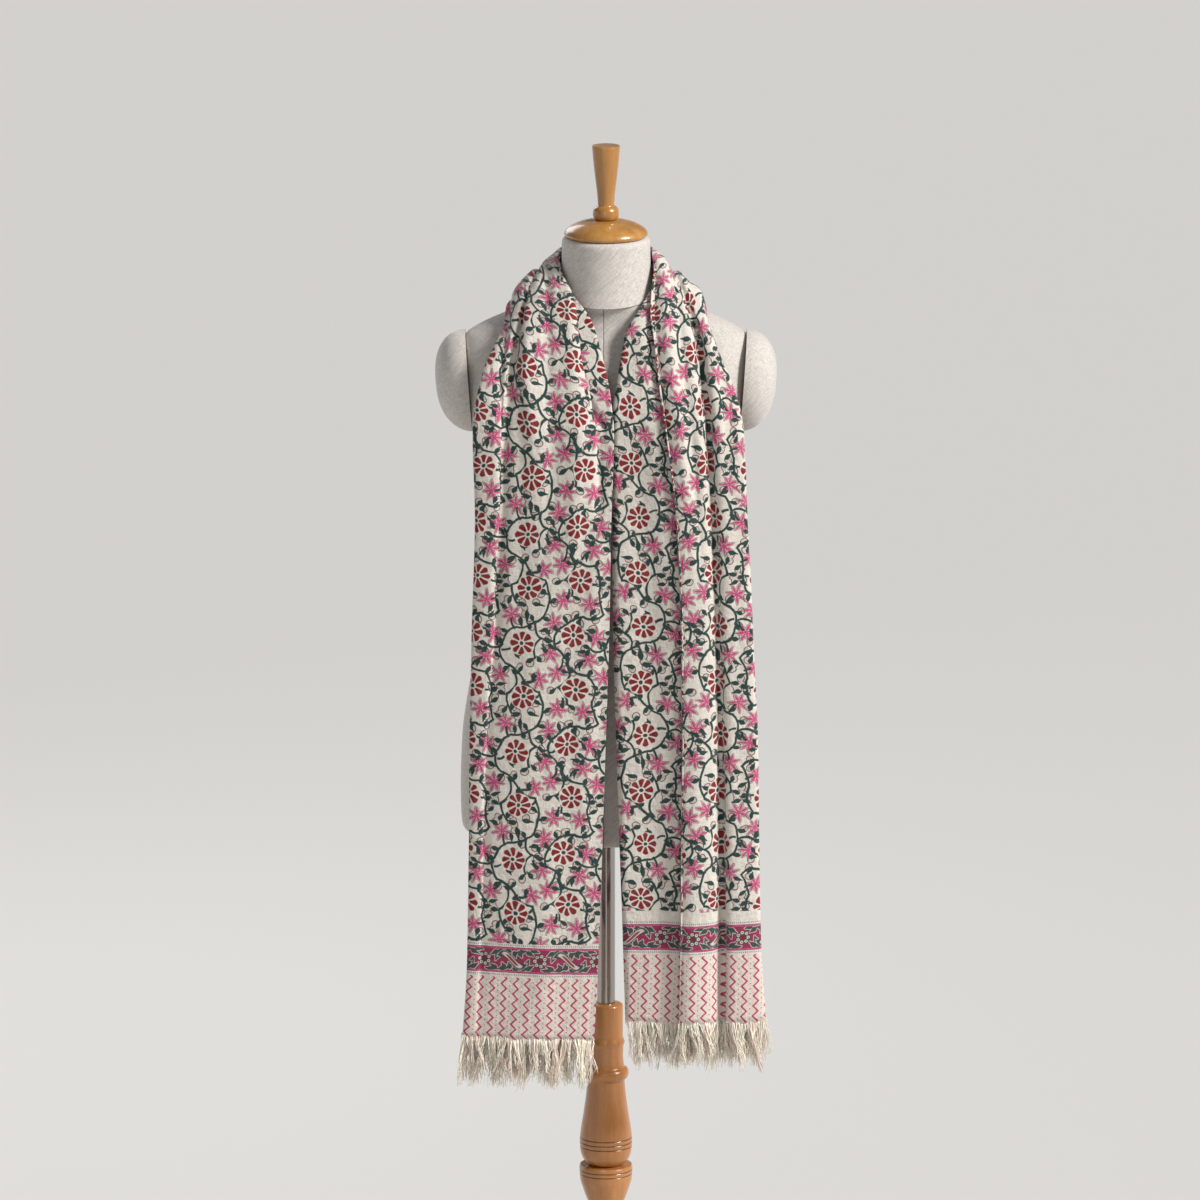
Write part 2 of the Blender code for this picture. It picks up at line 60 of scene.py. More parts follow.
# A section across the cloth: its inner and outer edges; the shares of the width where the broad panel
# starts and ends; and in millimetres how far the inner layer runs in under the panel (where this is
# negative it slopes up to it) and how deep, and how deep the valley after the panel is and how wide
# the slope into it. bundle picks the layers behind, between two rows of their table.
Section = namedtuple(
    "Section", "inner_x inner_y inner_z outer_x outer_y outer_z first second lap lift valley slope bundle"
)
MIRROR = np.array(Section(-1, 1, 1, -1, 1, 1, 1, 1, 1, 1, 1, 1, 1))  # turns left into right
LEFT = table(
    Section,
    (0.0000, 0.0640, 1.4150, 0.0000, 0.1180, 1.2500, 0.02, 0.36, 24, 7, 6, 12, 0.0),
    (-0.0450, 0.0430, 1.4160, -0.0970, 0.0850, 1.3035, 0.02, 0.38, 20, 7, 6, 11, 0.5),
    (-0.0546, 0.0000, 1.4080, -0.1175, 0.0000, 1.3515, 0.02, 0.40, 16, 7, 7, 9, 1.0),
    (-0.0500, -0.0300, 1.3910, -0.1230, -0.0400, 1.3310, 0.03, 0.58, 15, 8, 8, 9, 1.3),
    (-0.0312, -0.0590, 1.3690, -0.1344, -0.0680, 1.3085, 0.09, 0.70, 14, 9, 9, 9, 1.7),
    (-0.0170, -0.0760, 1.3430, -0.1450, -0.0840, 1.2850, 0.147, 0.725, 13, 9, 9, 9, 2.0),
    (-0.0048, -0.0940, 1.3045, -0.1536, -0.0980, 1.2560, 0.165, 0.735, 12, 9, 8, 9, 2.0),
    (0.0036, -0.1120, 1.2680, -0.1578, -0.1090, 1.2265, 0.135, 0.745, 7, 9, 7, 10, 2.0),
    (0.0068, -0.1225, 1.2420, -0.1583, -0.1130, 1.2080, 0.125, 0.753, -1, 7.5, 6, 11, 2.1),
    (0.0090, -0.1320, 1.2120, -0.1582, -0.1160, 1.1865, 0.12, 0.76, -10, 5, 5, 12, 2.2),
    (0.0060, -0.1400, 1.1070, -0.1560, -0.1210, 1.1025, 0.12, 0.78, -14, 1.5, 4, 13, 2.5),
    (0.0036, -0.1400, 0.9730, -0.1602, -0.1230, 0.9690, 0.12, 0.82, -14, 1, 3.5, 13, 3.0),
    (-0.0012, -0.1380, 0.8215, -0.1632, -0.1230, 0.8180, 0.12, 0.865, -14, 1, 3, 12, 3.0),
    (-0.0084, -0.1340, 0.5980, -0.1660, -0.1210, 0.5950, 0.12, 0.88, -14, 1, 2, 12, 3.0),
    (-0.0144, -0.1300, 0.4755, -0.1716, -0.1190, 0.4780, 0.12, 0.88, -14, 1, 1.5, 12, 3.0),
)
RIGHT = table(
    Section,
    (0.0000, 0.0640, 1.4150, 0.0000, 0.1180, 1.2500, 0.02, 0.36, 24, 7, 6, 12, 0.0),
    (0.0450, 0.0430, 1.4160, 0.0985, 0.0830, 1.3030, 0.02, 0.38, 20, 7, 6, 11, 0.5),
    (0.0546, 0.0000, 1.4080, 0.1175, 0.0000, 1.3515, 0.02, 0.40, 16, 7, 7, 9, 1.0),
    (0.0510, -0.0300, 1.3850, 0.1218, -0.0400, 1.3360, 0.04, 0.64, 14, 8, 8, 9, 1.3),
    (0.0348, -0.0610, 1.3550, 0.1314, -0.0680, 1.3170, 0.17, 0.755, 12, 9, 9, 9, 1.7),
    (0.0246, -0.0780, 1.3350, 0.1392, -0.0820, 1.2985, 0.26, 0.755, 11, 9, 9, 9, 2.0),
    (0.0186, -0.0930, 1.3065, 0.1524, -0.0960, 1.2655, 0.295, 0.71, 11, 9, 9, 9, 2.0),
    (0.0128, -0.1090, 1.2725, 0.1620, -0.1090, 1.2290, 0.335, 0.71, 12, 9, 9, 9, 2.0),
    (0.0078, -0.1240, 1.2295, 0.1650, -0.1170, 1.1865, 0.39, 0.725, 13, 9, 10, 9, 2.2),
    (0.0077, -0.1330, 1.1050, 0.1692, -0.1220, 1.1025, 0.458, 0.733, 14, 9, 10, 9, 2.6),
    (0.0090, -0.1340, 0.9715, 0.1752, -0.1240, 0.9690, 0.469, 0.733, 14, 9, 10, 9, 3.0),
    (0.0128, -0.1330, 0.8200, 0.1819, -0.1240, 0.8180, 0.446, 0.723, 14, 9, 10, 10, 3.0),
    (0.0192, -0.1300, 0.6300, 0.1848, -0.1220, 0.6280, 0.406, 0.717, 14, 9, 10, 13, 3.0),
    (0.0234, -0.1270, 0.4940, 0.1914, -0.1200, 0.4960, 0.37, 0.69, 12, 9, 11, 18, 3.0),
)
# The layers folded behind: shares of the width where they turn, and their depths in millimetres.
# crown is how far the whole section bows out.
Bundle = namedtuple("Bundle", "edge inner outer end roll belly stack gap crown")
SHARED_BUNDLES = table(
    Bundle,
    (0.08, 0.26, 0.86, 0.40, 5.0, 9.5, 11.0, 3.4, 10.0),
    (0.12, 0.33, 0.66, 0.45, 3.0, 9.0, 12.0, 3.4, 9.0),
    (0.00, 0.10, 0.92, 0.30, 7.0, 13.5, 14.0, 4.6, 6.0),
)
LEFT_BUNDLES = SHARED_BUNDLES + (Bundle(0.00, 0.06, 0.95, 0.14, 6.0, 8.5, 9.0, 5.5, 5.0),)
RIGHT_BUNDLES = SHARED_BUNDLES + (Bundle(0.00, 0.06, 0.94, 0.38, 9.0, 15.0, 15.5, 5.0, 5.0),)

CLOTH = 0.0008  # thickness of the real cloth
ROW_STEP = 0.008  # the cloth is cut into rows this far apart
FINE_STEPS = 12  # steps between two sections by which the cloth's length is measured
TANGENT_STEP = 0.05  # how far along the sections the cloth's own way is read, either side
CORNER_POINTS = 7  # points on the curve round each corner of a section
ANCHOR_CORNER = 6  # the corner in the middle of the broad panel: the cloth is measured from there
PLEAT_STEP = 2.5  # millimetres across the outer pleat's step
FULL_LAP = 12  # from this lap on, in millimetres, the inner pleat folds right back
PANEL_CROWN = 0.0015  # how far the broad panel stands out in its middle
DEEPEST = 0.76  # share of the width where the layer behind the outer edge hangs deepest


def spline(start, leave, end, arrive, share):
    """A smooth curve from start to end, which leaves and arrives with these slopes."""
    square = share * share
    cube = square * share
    return (
        (2 * cube - 3 * square + 1) * start
        + (cube - 2 * square + share) * leave
        + (3 * square - 2 * cube) * end
        + (cube - square) * arrive
    )


def row_before(rows, at):
    """A table's row at or before this place, and the share of the way from it to the next."""
    low = int(min(max(math.floor(at), 0), len(rows) - 2))
    return low, at - low


def read_between(rows, at):
    """The table's values at a place between two rows, on a smooth curve through all rows."""
    table = np.array(rows, dtype=float)
    low, share = row_before(rows, at)
    start, end = table[low], table[low + 1]
    before = table[low - 1] if low > 0 else table[1] * MIRROR
    after = table[min(low + 2, len(table) - 1)]
    return spline(start, (end - before) / 2, end, (after - start) / 2, share)


def read_linear(rows, at):
    """The same on straight lines between the rows."""
    table = np.array(rows, dtype=float)
    low, share = row_before(rows, at)
    return table[low] * (1 - share) + table[low + 1] * share


def fold_outline(section, bundle, width):
    """The folded cloth in one section, as corners (share of the way across, depth in metres)."""
    lap = section.lap * MM / width
    slope = section.slope * MM / width
    step = PLEAT_STEP * MM / width
    lift = section.lift * MM
    valley = section.valley * MM
    stack = bundle.stack * MM
    gap = bundle.gap * MM
    under = section.first + lap
    spread = max(-lap, 0) / 3
    ramp = min(max(1 - section.lap / FULL_LAP, 0), 1) / 6
    return (
        (bundle.edge, lift * 0.85),
        (bundle.edge + (under - bundle.edge) * 0.4, lift * 0.95),
        (under, lift),
        (under + spread, lift * (0.5 + ramp)),
        (section.first - spread, lift * (0.5 - ramp)),
        (section.first, 0.0),
        ((section.first + section.second - slope) / 2, -PANEL_CROWN),
        (section.second - slope, 0.0),
        (section.second, valley),
        (section.second + step, valley),
        (section.second + 2 * step, 0.0),
        ((section.second + 2 * step + 1) / 2, -PANEL_CROWN / 3),
        (1.0, PANEL_CROWN / 3),
        (1.0, bundle.roll * MM),
        (DEEPEST, bundle.belly * MM),
        (bundle.inner, stack),
        (bundle.inner, stack + gap),
        (bundle.outer, stack + gap * 0.8),
        (bundle.outer, stack + gap * 1.8),
        (bundle.end, stack + gap * 2),
    )


def round_corners(corners):
    """A smooth curve that touches the middle of each side of the outline, with its corners cut."""
    corners = np.array(corners, dtype=float)
    middles = (corners[:-1] + corners[1:]) / 2
    curve = [corners[0], (corners[0] + middles[0]) / 2, middles[0]]
    for start, corner, end in zip(middles[:-1], corners[1:-1], middles[1:]):
        for step in range(1, CORNER_POINTS + 1):
            share = step / CORNER_POINTS
            curve.append(start * (1 - share) ** 2 + corner * 2 * share * (1 - share) + end * share**2)
    curve += [(middles[-1] + corners[-1]) / 2, corners[-1]]
    return np.array(curve)


ANCHOR = 2 + (ANCHOR_CORNER - 1) * CORNER_POINTS + CORNER_POINTS // 2  # its point on that curve


def section_path(rows, at, side):
    """The middle of the cloth in one section, the way across it and the way out of it."""
    section = Section(*read_between(rows, at))
    inner = np.array([section.inner_x, section.inner_y, section.inner_z])
    outer = np.array([section.outer_x, section.outer_y, section.outer_z])
    width = np.linalg.norm(outer - inner)
    across = (outer - inner) / width
    ahead = read_between(rows, min(at + TANGENT_STEP, len(rows) - 1))
    behind = ahead * MIRROR if at < TANGENT_STEP else read_between(rows, at - TANGENT_STEP)
    along = (ahead[:3] + ahead[3:6]) - (behind[:3] + behind[3:6])
    outward = np.cross(across, along) * -side
    outward /= np.linalg.norm(outward)
    bundle = Bundle(*read_linear(LEFT_BUNDLES if side < 0 else RIGHT_BUNDLES, section.bundle))
    path = []
    for share, depth in round_corners(fold_outline(section, bundle, width)):
        swell = bundle.crown * MM * 4 * share * (1 - share)
        path.append(inner + across * share * width + outward * (swell - depth))
    return np.array(path), across, outward


# ---------------------------------------------------------------- the soft creases

# A crease is a soft ridge (or, with a negative height, a trough) along the cloth. Its middle runs
# from from_u to to_u between two distances from the hem; u is the distance across the cloth from
# the middle of the broad panel, towards the outer edge. All in millimetres.
Crease = namedtuple("Crease", "from_v to_v from_u to_u width height")
INNER_U = -110  # the right half's inner edge, lower down
LEFT_CREASES = table(
    Crease,
    (1010, 540, -34, -16, 9, 3.8),
    (1040, 620, -2, 10, 7, -4.2),
    (1030, 680, 26, 33, 7, 3.4),
    (900, 480, 52, 40, 10, -2.0),
    (700, 200, -52, -44, 12, 1.4),
    (620, 90, -22, -30, 14, -1.4),
    (560, 60, 18, 26, 13, 1.2),
    (300, 0, 2, -8, 12, 1.6),
    (110, 0, -34, 34, 9, 2.4),
    (85, 0, -62, -18, 9, -2.0),
    (1010, 760, 100, 92, 9, 2.2),
    (1060, 800, -90, -84, 9, 2.0),
    (1060, 600, -49, -50, 6, -6.0),
    (1060, 480, 69, 71, 5, -4.0),
)
RIGHT_CREASES = table(
    Crease,
    (1000, 600, -6, 0, 6, 3.0),
    (1030, 520, 14, 12, 6, -3.4),
    (980, 300, -64, -58, 11, 2.2),
    (760, 60, -88, -78, 13, -1.8),
    (640, 0, -46, -44, 11, 1.6),
    (420, 0, 4, -2, 9, 1.6),
    (260, 0, -70, -64, 9, -1.8),
    (1000, 660, 62, 56, 7, 2.8),
    (900, 200, 66, 62, 9, -1.2),
    (1060, 820, 110, 96, 9, 2.2),
    (1060, 0, INNER_U, INNER_U, 40, -4.0),
    (1060, 0, -20, -21, 6, -4.0),
    (1000, 0, 44, 40, 9, -3.0),
)
CREASE_FADE = 90  # millimetres over which a crease fades at either end
HEM_KEEPS = 0.8  # share of its height that a crease keeps where it runs off the hem


def crease_heights(creases, u, v):
    """How far the cloth stands out at each point, for arrays of places on it in millimetres."""
    height = np.zeros_like(u)
    for crease in creases:
        share = np.clip((crease.from_v - v) / (crease.from_v - crease.to_v), 0, 1)
        middle = crease.from_u + (crease.to_u - crease.from_u) * share
        enter = np.clip((crease.from_v - v) / CREASE_FADE, 0, 1)
        kept = 0 if crease.to_v > 0 else HEM_KEEPS
        leave = np.clip((v - crease.to_v) / CREASE_FADE + kept, 0, 1)
        fade = (enter * leave) ** 2 * (3 - 2 * enter * leave)
        height += crease.height * fade * np.exp(-(((u - middle) / crease.width) ** 2))
    return height


def crinkle(u, v):
    """The faint unevenness of light cloth that has been folded and hung, in long crossing waves."""
    crossed = 0.35 * np.sin(u / 11.0 + 1.3 * np.sin(v / 47.0)) * np.sin(v / 61.0 + u / 83.0)
    return crossed + 0.25 * np.sin(v / 29.0 + 1.7 * np.sin(u / 37.0) + 0.8)


def frayed_edge(u):
    """How far the hem's last thread lies above or below its place."""
    return 0.9 * np.sin(u / 2.9 + 2.0 * np.sin(u / 13.0)) + 0.8 * np.sin(u / 7.3 + 1.0)


# ---------------------------------------------------------------- the cloth's mesh


def half_grid(rows, side):
    """One half of the cloth as a grid of points, rows from the nape's middle to the hem."""
    fine = np.linspace(0, len(rows) - 1, 1 + FINE_STEPS * (len(rows) - 1))
    anchors = np.array([section_path(rows, at, side)[0][ANCHOR] for at in fine])
    reached = np.concatenate([[0], np.cumsum(np.linalg.norm(np.diff(anchors, axis=0), axis=1))])
    count = int(round(reached[-1] / ROW_STEP))
    places = np.interp(np.linspace(0, reached[-1], count + 1), reached, fine)
    return np.array([section_path(rows, at, side)[0] for at in places])


def cloth_places(grid):
    """Each point's distance across the cloth from the anchor and along it from the hem."""
    steps = np.linalg.norm(np.diff(grid, axis=1), axis=2)
    across = np.concatenate([np.zeros((len(grid), 1)), np.cumsum(steps, axis=1)], axis=1)
    across -= across[:, ANCHOR : ANCHOR + 1]
    falls = np.linalg.norm(np.diff(grid, axis=0), axis=2)[::-1]
    up = np.concatenate([np.zeros((1, grid.shape[1])), np.cumsum(falls, axis=0)], axis=0)[::-1]
    return across / MM, up / MM


def grid_normals(grid):
    """The cloth's outward normal at each point of a grid."""
    normals = np.cross(np.gradient(grid, axis=1), np.gradient(grid, axis=0))
    return normals / np.linalg.norm(normals, axis=2)[:, :, None]


def creased(grid, creases, side):
    """The grid with its creases, and each point's place on the flat cloth."""
    across, up = cloth_places(grid)
    height = crease_heights(creases, across, up) + crinkle(across, up)
    made = grid - side * grid_normals(grid) * (height * MM)[:, :, None]
    made[-1, :, 2] += frayed_edge(across[-1]) * MM
    return made, across, up


left_grid, left_across, left_up = creased(half_grid(LEFT, -1), LEFT_CREASES, -1)
right_grid, right_across, right_up = creased(half_grid(RIGHT, 1), RIGHT_CREASES, 1)


def add_object(name, data):
    made = bpy.data.objects.new(name, data)
    bpy.context.scene.collection.objects.link(made)
    return made


def mesh_object(name, points, faces, finish):
    mesh = bpy.data.meshes.new(name)
    mesh.from_pydata([tuple(point) for point in points], [], faces)
    mesh.update()
    mesh.materials.append(finish)
    mesh.shade_smooth()
    return add_object(name, mesh)


def add_numbers(mesh, name, numbers):
    """Keeps a number with each of the mesh's points, for its finish to read."""
    kept = mesh.attributes.new(name, "FLOAT", "POINT")
    kept.data.foreach_set("value", np.array(numbers, dtype=np.float32))


def grid_faces(rows, columns):
    faces = []
    for row in range(rows - 1):
        for low in range(row * columns, row * columns + columns - 1):
            faces.append((low, low + 1, low + columns + 1, low + columns))
    return faces


def skin_rings(rings):
    """Points and faces of a closed skin over rings of equally many points, with a face on each end."""
    count = len(rings[0])
    points = [point for ring in rings for point in ring]
    faces = []
    for low in range(0, len(points) - count, count):
        for place in range(count):
            after = (place + 1) % count
            faces.append((low + place, low + after, low + count + after, low + count + place))
    faces.append(tuple(range(count - 1, -1, -1)))
    faces.append(tuple(range(len(points) - count, len(points))))
    return points, faces


def ring_object(name, rings, finish, sharp):
    """A closed piece over rings. Its edges stay sharp from this angle on, in degrees."""
    made = mesh_object(name, *skin_rings(rings), finish)
    made.data.set_sharp_from_angle(angle=math.radians(sharp))
    return made


def turns(count):
    """Equal turns round a circle, in radians."""
    return [2 * math.pi * place / count for place in range(count)]


EASE_FROM = 800.0  # from this far over the hem, the print eases to run on over the nape
BAKE_MARGIN = 0.01  # share of a half's strip that stays free at its edges


def levelled(up):
    """Distances along one half for the print, eased so that they agree at the nape's middle."""
    extra = up[0] - up[0, ANCHOR]
    share = np.clip((up - EASE_FROM) / (up[0] - EASE_FROM), 0, 1)
    return up - extra * share * share * (3 - 2 * share)


def strip_corners(across, up, strip):
    """Where the corners of one half's faces lie in the square of the flat map."""
    share_across = (across - across.min()) / (across.max() - across.min())
    places_x = (strip + BAKE_MARGIN + (1 - 2 * BAKE_MARGIN) * share_across) / 2
    places_y = BAKE_MARGIN / 2 + (1 - BAKE_MARGIN) * up / up.max()
    places = np.stack([places_x, places_y], axis=2)
    corners = (places[:-1, :-1], places[:-1, 1:], places[1:, 1:], places[1:, :-1])
    return np.stack(corners, axis=2).astype(np.float32).ravel()


def add_cloth(finish):
    """The whole shawl: the left half from its hem up to the nape, then the right half down."""
    grid = np.concatenate([left_grid[::-1], right_grid[1:]])
    across = np.concatenate([left_across[::-1], right_across[1:]])
    up = np.concatenate([left_up[::-1], right_up[1:]])
    whole = left_up[0, ANCHOR] + right_up[0, ANCHOR]
    printed = np.concatenate([levelled(left_up)[::-1], whole - levelled(right_up)[1:]])
    rows, columns = grid.shape[:2]
    made = mesh_object("shawl", grid.reshape(-1, 3), grid_faces(rows, columns), finish)
    mesh = made.data
    place = mesh.attributes.new("cloth", "FLOAT_VECTOR", "POINT")
    place.data.foreach_set("vector", np.stack([across, up, printed], axis=2).astype(np.float32).ravel())
    add_numbers(mesh, "right_half", np.repeat(np.arange(rows) >= len(left_grid), columns))
    flat = mesh.uv_layers.new(name="OFBake")
    left_strip = strip_corners(left_across[::-1], left_up[::-1], 0)
    right_strip = strip_corners(right_across, right_up, 1)
    flat.data.foreach_set("uv", np.concatenate([left_strip, right_strip]))
    wall = made.modifiers.new("thickness", "SOLIDIFY")
    wall.thickness = CLOTH
    wall.offset = 0
    wall.use_rim = True
    return made


# ---------------------------------------------------------------- sums in the shaders


class Wire:
    """A number in a shader: ordinary sums on it add math nodes to its tree."""

    def __init__(self, tree, socket):
        self.tree = tree
        self.socket = socket

    def math(self, operation, *others, clamp=False):
        node = self.tree.nodes.new("ShaderNodeMath")
        node.operation = operation
        node.use_clamp = clamp
        for place, value in enumerate((self, *others)):
            if isinstance(value, Wire):
                self.tree.links.new(value.socket, node.inputs[place])
            else:
                node.inputs[place].default_value = value
        return Wire(self.tree, node.outputs[0])

    def __add__(self, other):
        return self.math("ADD", other)

    def __sub__(self, other):
        return self.math("SUBTRACT", other)

    def __mul__(self, other):
        return self.math("MULTIPLY", other)

    def __truediv__(self, other):
        return self.math("DIVIDE", other)

    def __abs__(self):
        return self.math("ABSOLUTE")

    def less_from(self, value):
        """value - self"""
        return self.math("MULTIPLY_ADD", -1.0, value)

    def wrap(self, reach):
        """Repeats, so that it runs from -reach to reach."""
        return self.math("WRAP", -reach, reach)

    def lower(self, other):
        return self.math("MINIMUM", other)

    def higher(self, other):
        return self.math("MAXIMUM", other)

    def ink(self, softness=0.5):
        """1 where this distance is below nothing, 0 where it is above."""
        return self.math("MULTIPLY_ADD", -1.0 / softness, 0.5, clamp=True)


def vector_math(vector, operation, *others):
    """A sum on vectors; a Wire may stand for a number."""
    tree = vector.node.id_data
    node = tree.nodes.new("ShaderNodeVectorMath")
    node.operation = operation
    tree.links.new(vector, node.inputs[0])
    inputs = [node.inputs["Scale"]] if operation == "SCALE" else node.inputs[1:]
    for socket, value in zip(inputs, others):
        if isinstance(value, Wire):
            tree.links.new(value.socket, socket)
        elif isinstance(value, tuple):
            socket.default_value = value
        else:
            tree.links.new(value, socket)
    return node.outputs[0]


def wire_of(vector, operation, *others):
    """The same where the outcome is a number."""
    node = vector_math(vector, operation, *others).node
    return Wire(node.id_data, node.outputs["Value"])


def dotted(vector, x, y):
    return wire_of(vector, "DOT_PRODUCT", (x, y, 0.0))


def length_of(x, y):
    return wire_of(vector_of(x.tree, x, y, 0.0), "LENGTH")


def mixed(low, high, factor):
    """low where factor is 0, high where it is 1, for colours and colour sockets."""
    tree = factor.tree
    node = tree.nodes.new("ShaderNodeMix")
    node.data_type = "RGBA"
    tree.links.new(factor.socket, node.inputs["Factor"])
    for name, value in (("A", low), ("B", high)):
        socket = [found for found in node.inputs if found.name == name and found.type == "RGBA"][0]
        if isinstance(value, tuple):
            socket.default_value = (*value, 1.0)
        else:
            tree.links.new(value, socket)
    return [found for found in node.outputs if found.type == "RGBA"][0]


def chosen(low, high, factor):
    """The same for plain numbers."""
    return (high - low) * factor + low


def noise(tree, vector, scale, detail=2.0, roughness=0.5, stretch=None):
    """Smooth noise about 0.5. stretch scales the place first, along each axis."""
    if stretch is not None:
        vector = vector_math(vector, "MULTIPLY", stretch)
    node = tree.nodes.new("ShaderNodeTexNoise")
    for name, value in (("Scale", scale), ("Detail", detail), ("Roughness", roughness)):
        node.inputs[name].default_value = value
    tree.links.new(vector, node.inputs["Vector"])
    return Wire(tree, node.outputs[0])


def vector_of(tree, *parts):
    node = tree.nodes.new("ShaderNodeCombineXYZ")
    for place, value in enumerate(parts):
        if isinstance(value, Wire):
            tree.links.new(value.socket, node.inputs[place])
        else:
            node.inputs[place].default_value = value
    return node.outputs[0]


def parts_of(vector):
    """A vector's x, y and z."""
    tree = vector.node.id_data
    node = tree.nodes.new("ShaderNodeSeparateXYZ")
    tree.links.new(vector, node.inputs[0])
    return [Wire(tree, output) for output in node.outputs]


def stored(tree, name, output):
    """What the mesh keeps under this name with its points."""
    node = tree.nodes.new("ShaderNodeAttribute")
    node.attribute_name = name
    return node.outputs[output]


def object_place(tree):
    return tree.nodes.new("ShaderNodeTexCoord").outputs["Object"]


def new_finish(name, colour, roughness, more):
    """A material with these values on its shader's own sockets."""
    made = bpy.data.materials.new(name)
    made.use_nodes = True
    shader = made.node_tree.nodes["Principled BSDF"]
    shader.inputs["Base Color"].default_value = (*colour, 1.0)
    shader.inputs["Roughness"].default_value = roughness
    for socket, value in more.items():
        shader.inputs[socket].default_value = value
    return made, made.node_tree, shader


def add_bump(tree, shader, height, distance, strength):
    node = tree.nodes.new("ShaderNodeBump")
    node.inputs["Distance"].default_value = distance
    node.inputs["Strength"].default_value = strength
    tree.links.new(height.socket, node.inputs["Height"])
    tree.links.new(node.outputs[0], shader.inputs["Normal"])


# ---------------------------------------------------------------- the print

IVORY = (0.70, 0.66, 0.60)
GREEN = (0.014, 0.042, 0.038)
CRIMSON = (0.19, 0.005, 0.010)
PINK = (0.46, 0.050, 0.160)
BUD = (0.105, 0.030, 0.036)
BAND_PINK = (0.27, 0.024, 0.080)
ZIGZAG_PINK = (0.40, 0.018, 0.095)
ZIGZAG_DOTS = (0.16, 0.02, 0.05)
ZIGZAG_GROUND = (0.70, 0.56, 0.49)
BAND_CREAM = (0.62, 0.55, 0.50)
BAND_EDGE = (0.50, 0.10, 0.25)
DASH = (0.10, 0.05, 0.06)
GROUND_DARK = (0.53, 0.485, 0.425)
GROUND_LIGHT = (0.77, 0.73, 0.675)
THREAD_DARK = (0.88, 0.79, 0.63)
THREAD_LIGHT = (0.99, 0.95, 0.86)
THREAD_DYED = (0.66, 0.28, 0.33)

# The block that repeats, in millimetres: x across the cloth, y along it.
BLOCK_X = 125.0
BLOCK_Y = 133.0
FLOWER_RADIUS = 14.3
FLOWER_PETALS = 8
FLOWER_EYE = 2.4
FLOWER_HOLLOW = 4.3  # the petals start this far from the middle
PETAL_WIDENS = 0.295  # half a petal's width for each millimetre from the middle
STAR_RADIUS = 12.0
STAR_PETALS = 7
STAR_TURN = 0.3  # radians
STAR_BLADE = 1.5  # half a petal's width in its middle
STAR_HEART = 2.3
STAR_RIM = 0.8  # a thin outline lies this far outside the star
VINES_CLEAR = 4.0  # from a star's middle to the vines and leaves
BUDS_CLEAR = 5.5
Place = namedtuple("Place", "x y")
FLOWERS = (Place(31, 24), Place(36, 89), Place(94, 35), Place(101, 100))
STARS = table(
    Place,
    (14, 46), (62, 50), (51, 124), (2, 78), (83, 7), (114, 10), (118, 54), (81, 71), (73, 98),
    (124, 117),
)
# A vine is an arc; bulge is how far its middle stands to the left of the way from start to end.
Vine = namedtuple("Vine", "x y to_x to_y bulge")
VINES = table(
    Vine,
    # the stem that winds round the first column of flowers
    (10, -5, 12, 32, 4), (12, 32, 32, 47, -3), (32, 47, 55, 64, 2.5), (55, 64, 59, 92, -4.5),
    (59, 92, 43, 109, -3), (43, 109, 22, 115, 2), (22, 115, 10, 128, 2.5),
    # the stem that winds round the second column
    (66, -6, 73, 20, -1.5), (73, 20, 80, 52, 5), (80, 52, 105, 65, -4), (105, 65, 121, 84, 3),
    (121, 84, 113, 111, -5), (113, 111, 88, 122, -3), (88, 122, 66, 127, 4.5),
    # shoots on the flowers' other sides
    (42, 53, 52, 26, -6), (52, 26, 44, 4, 1.5), (20, 116, 13, 96, 4), (13, 96, 20, 72, 5),
    (107, 66, 113, 36, -7), (113, 36, 104, 16, -3), (90, 122, 83, 104, 5), (60, 86, 78, 84, -4),
    # stalks of flowers and stars
    (12, 28, 19, 24, -1), (58, 80, 49, 84, 1), (75, 30, 82, 33, -1), (121, 90, 114, 95, 1),
    (26, 43, 16, 46, 1), (52, 60, 60, 51, -1), (46, 107, 50, 121, -1.5), (12, 88, 3, 79, 2),
    (70, 10, 81, 8, -1), (112, 70, 118, 57, -1.5), (95, 61, 83, 69, -2), (66, 85, 72, 96, 2),
    (117, 104, 123, 115, -1.5), (108, 22, 113, 12, -1),
)
VINE_HALF = 1.45
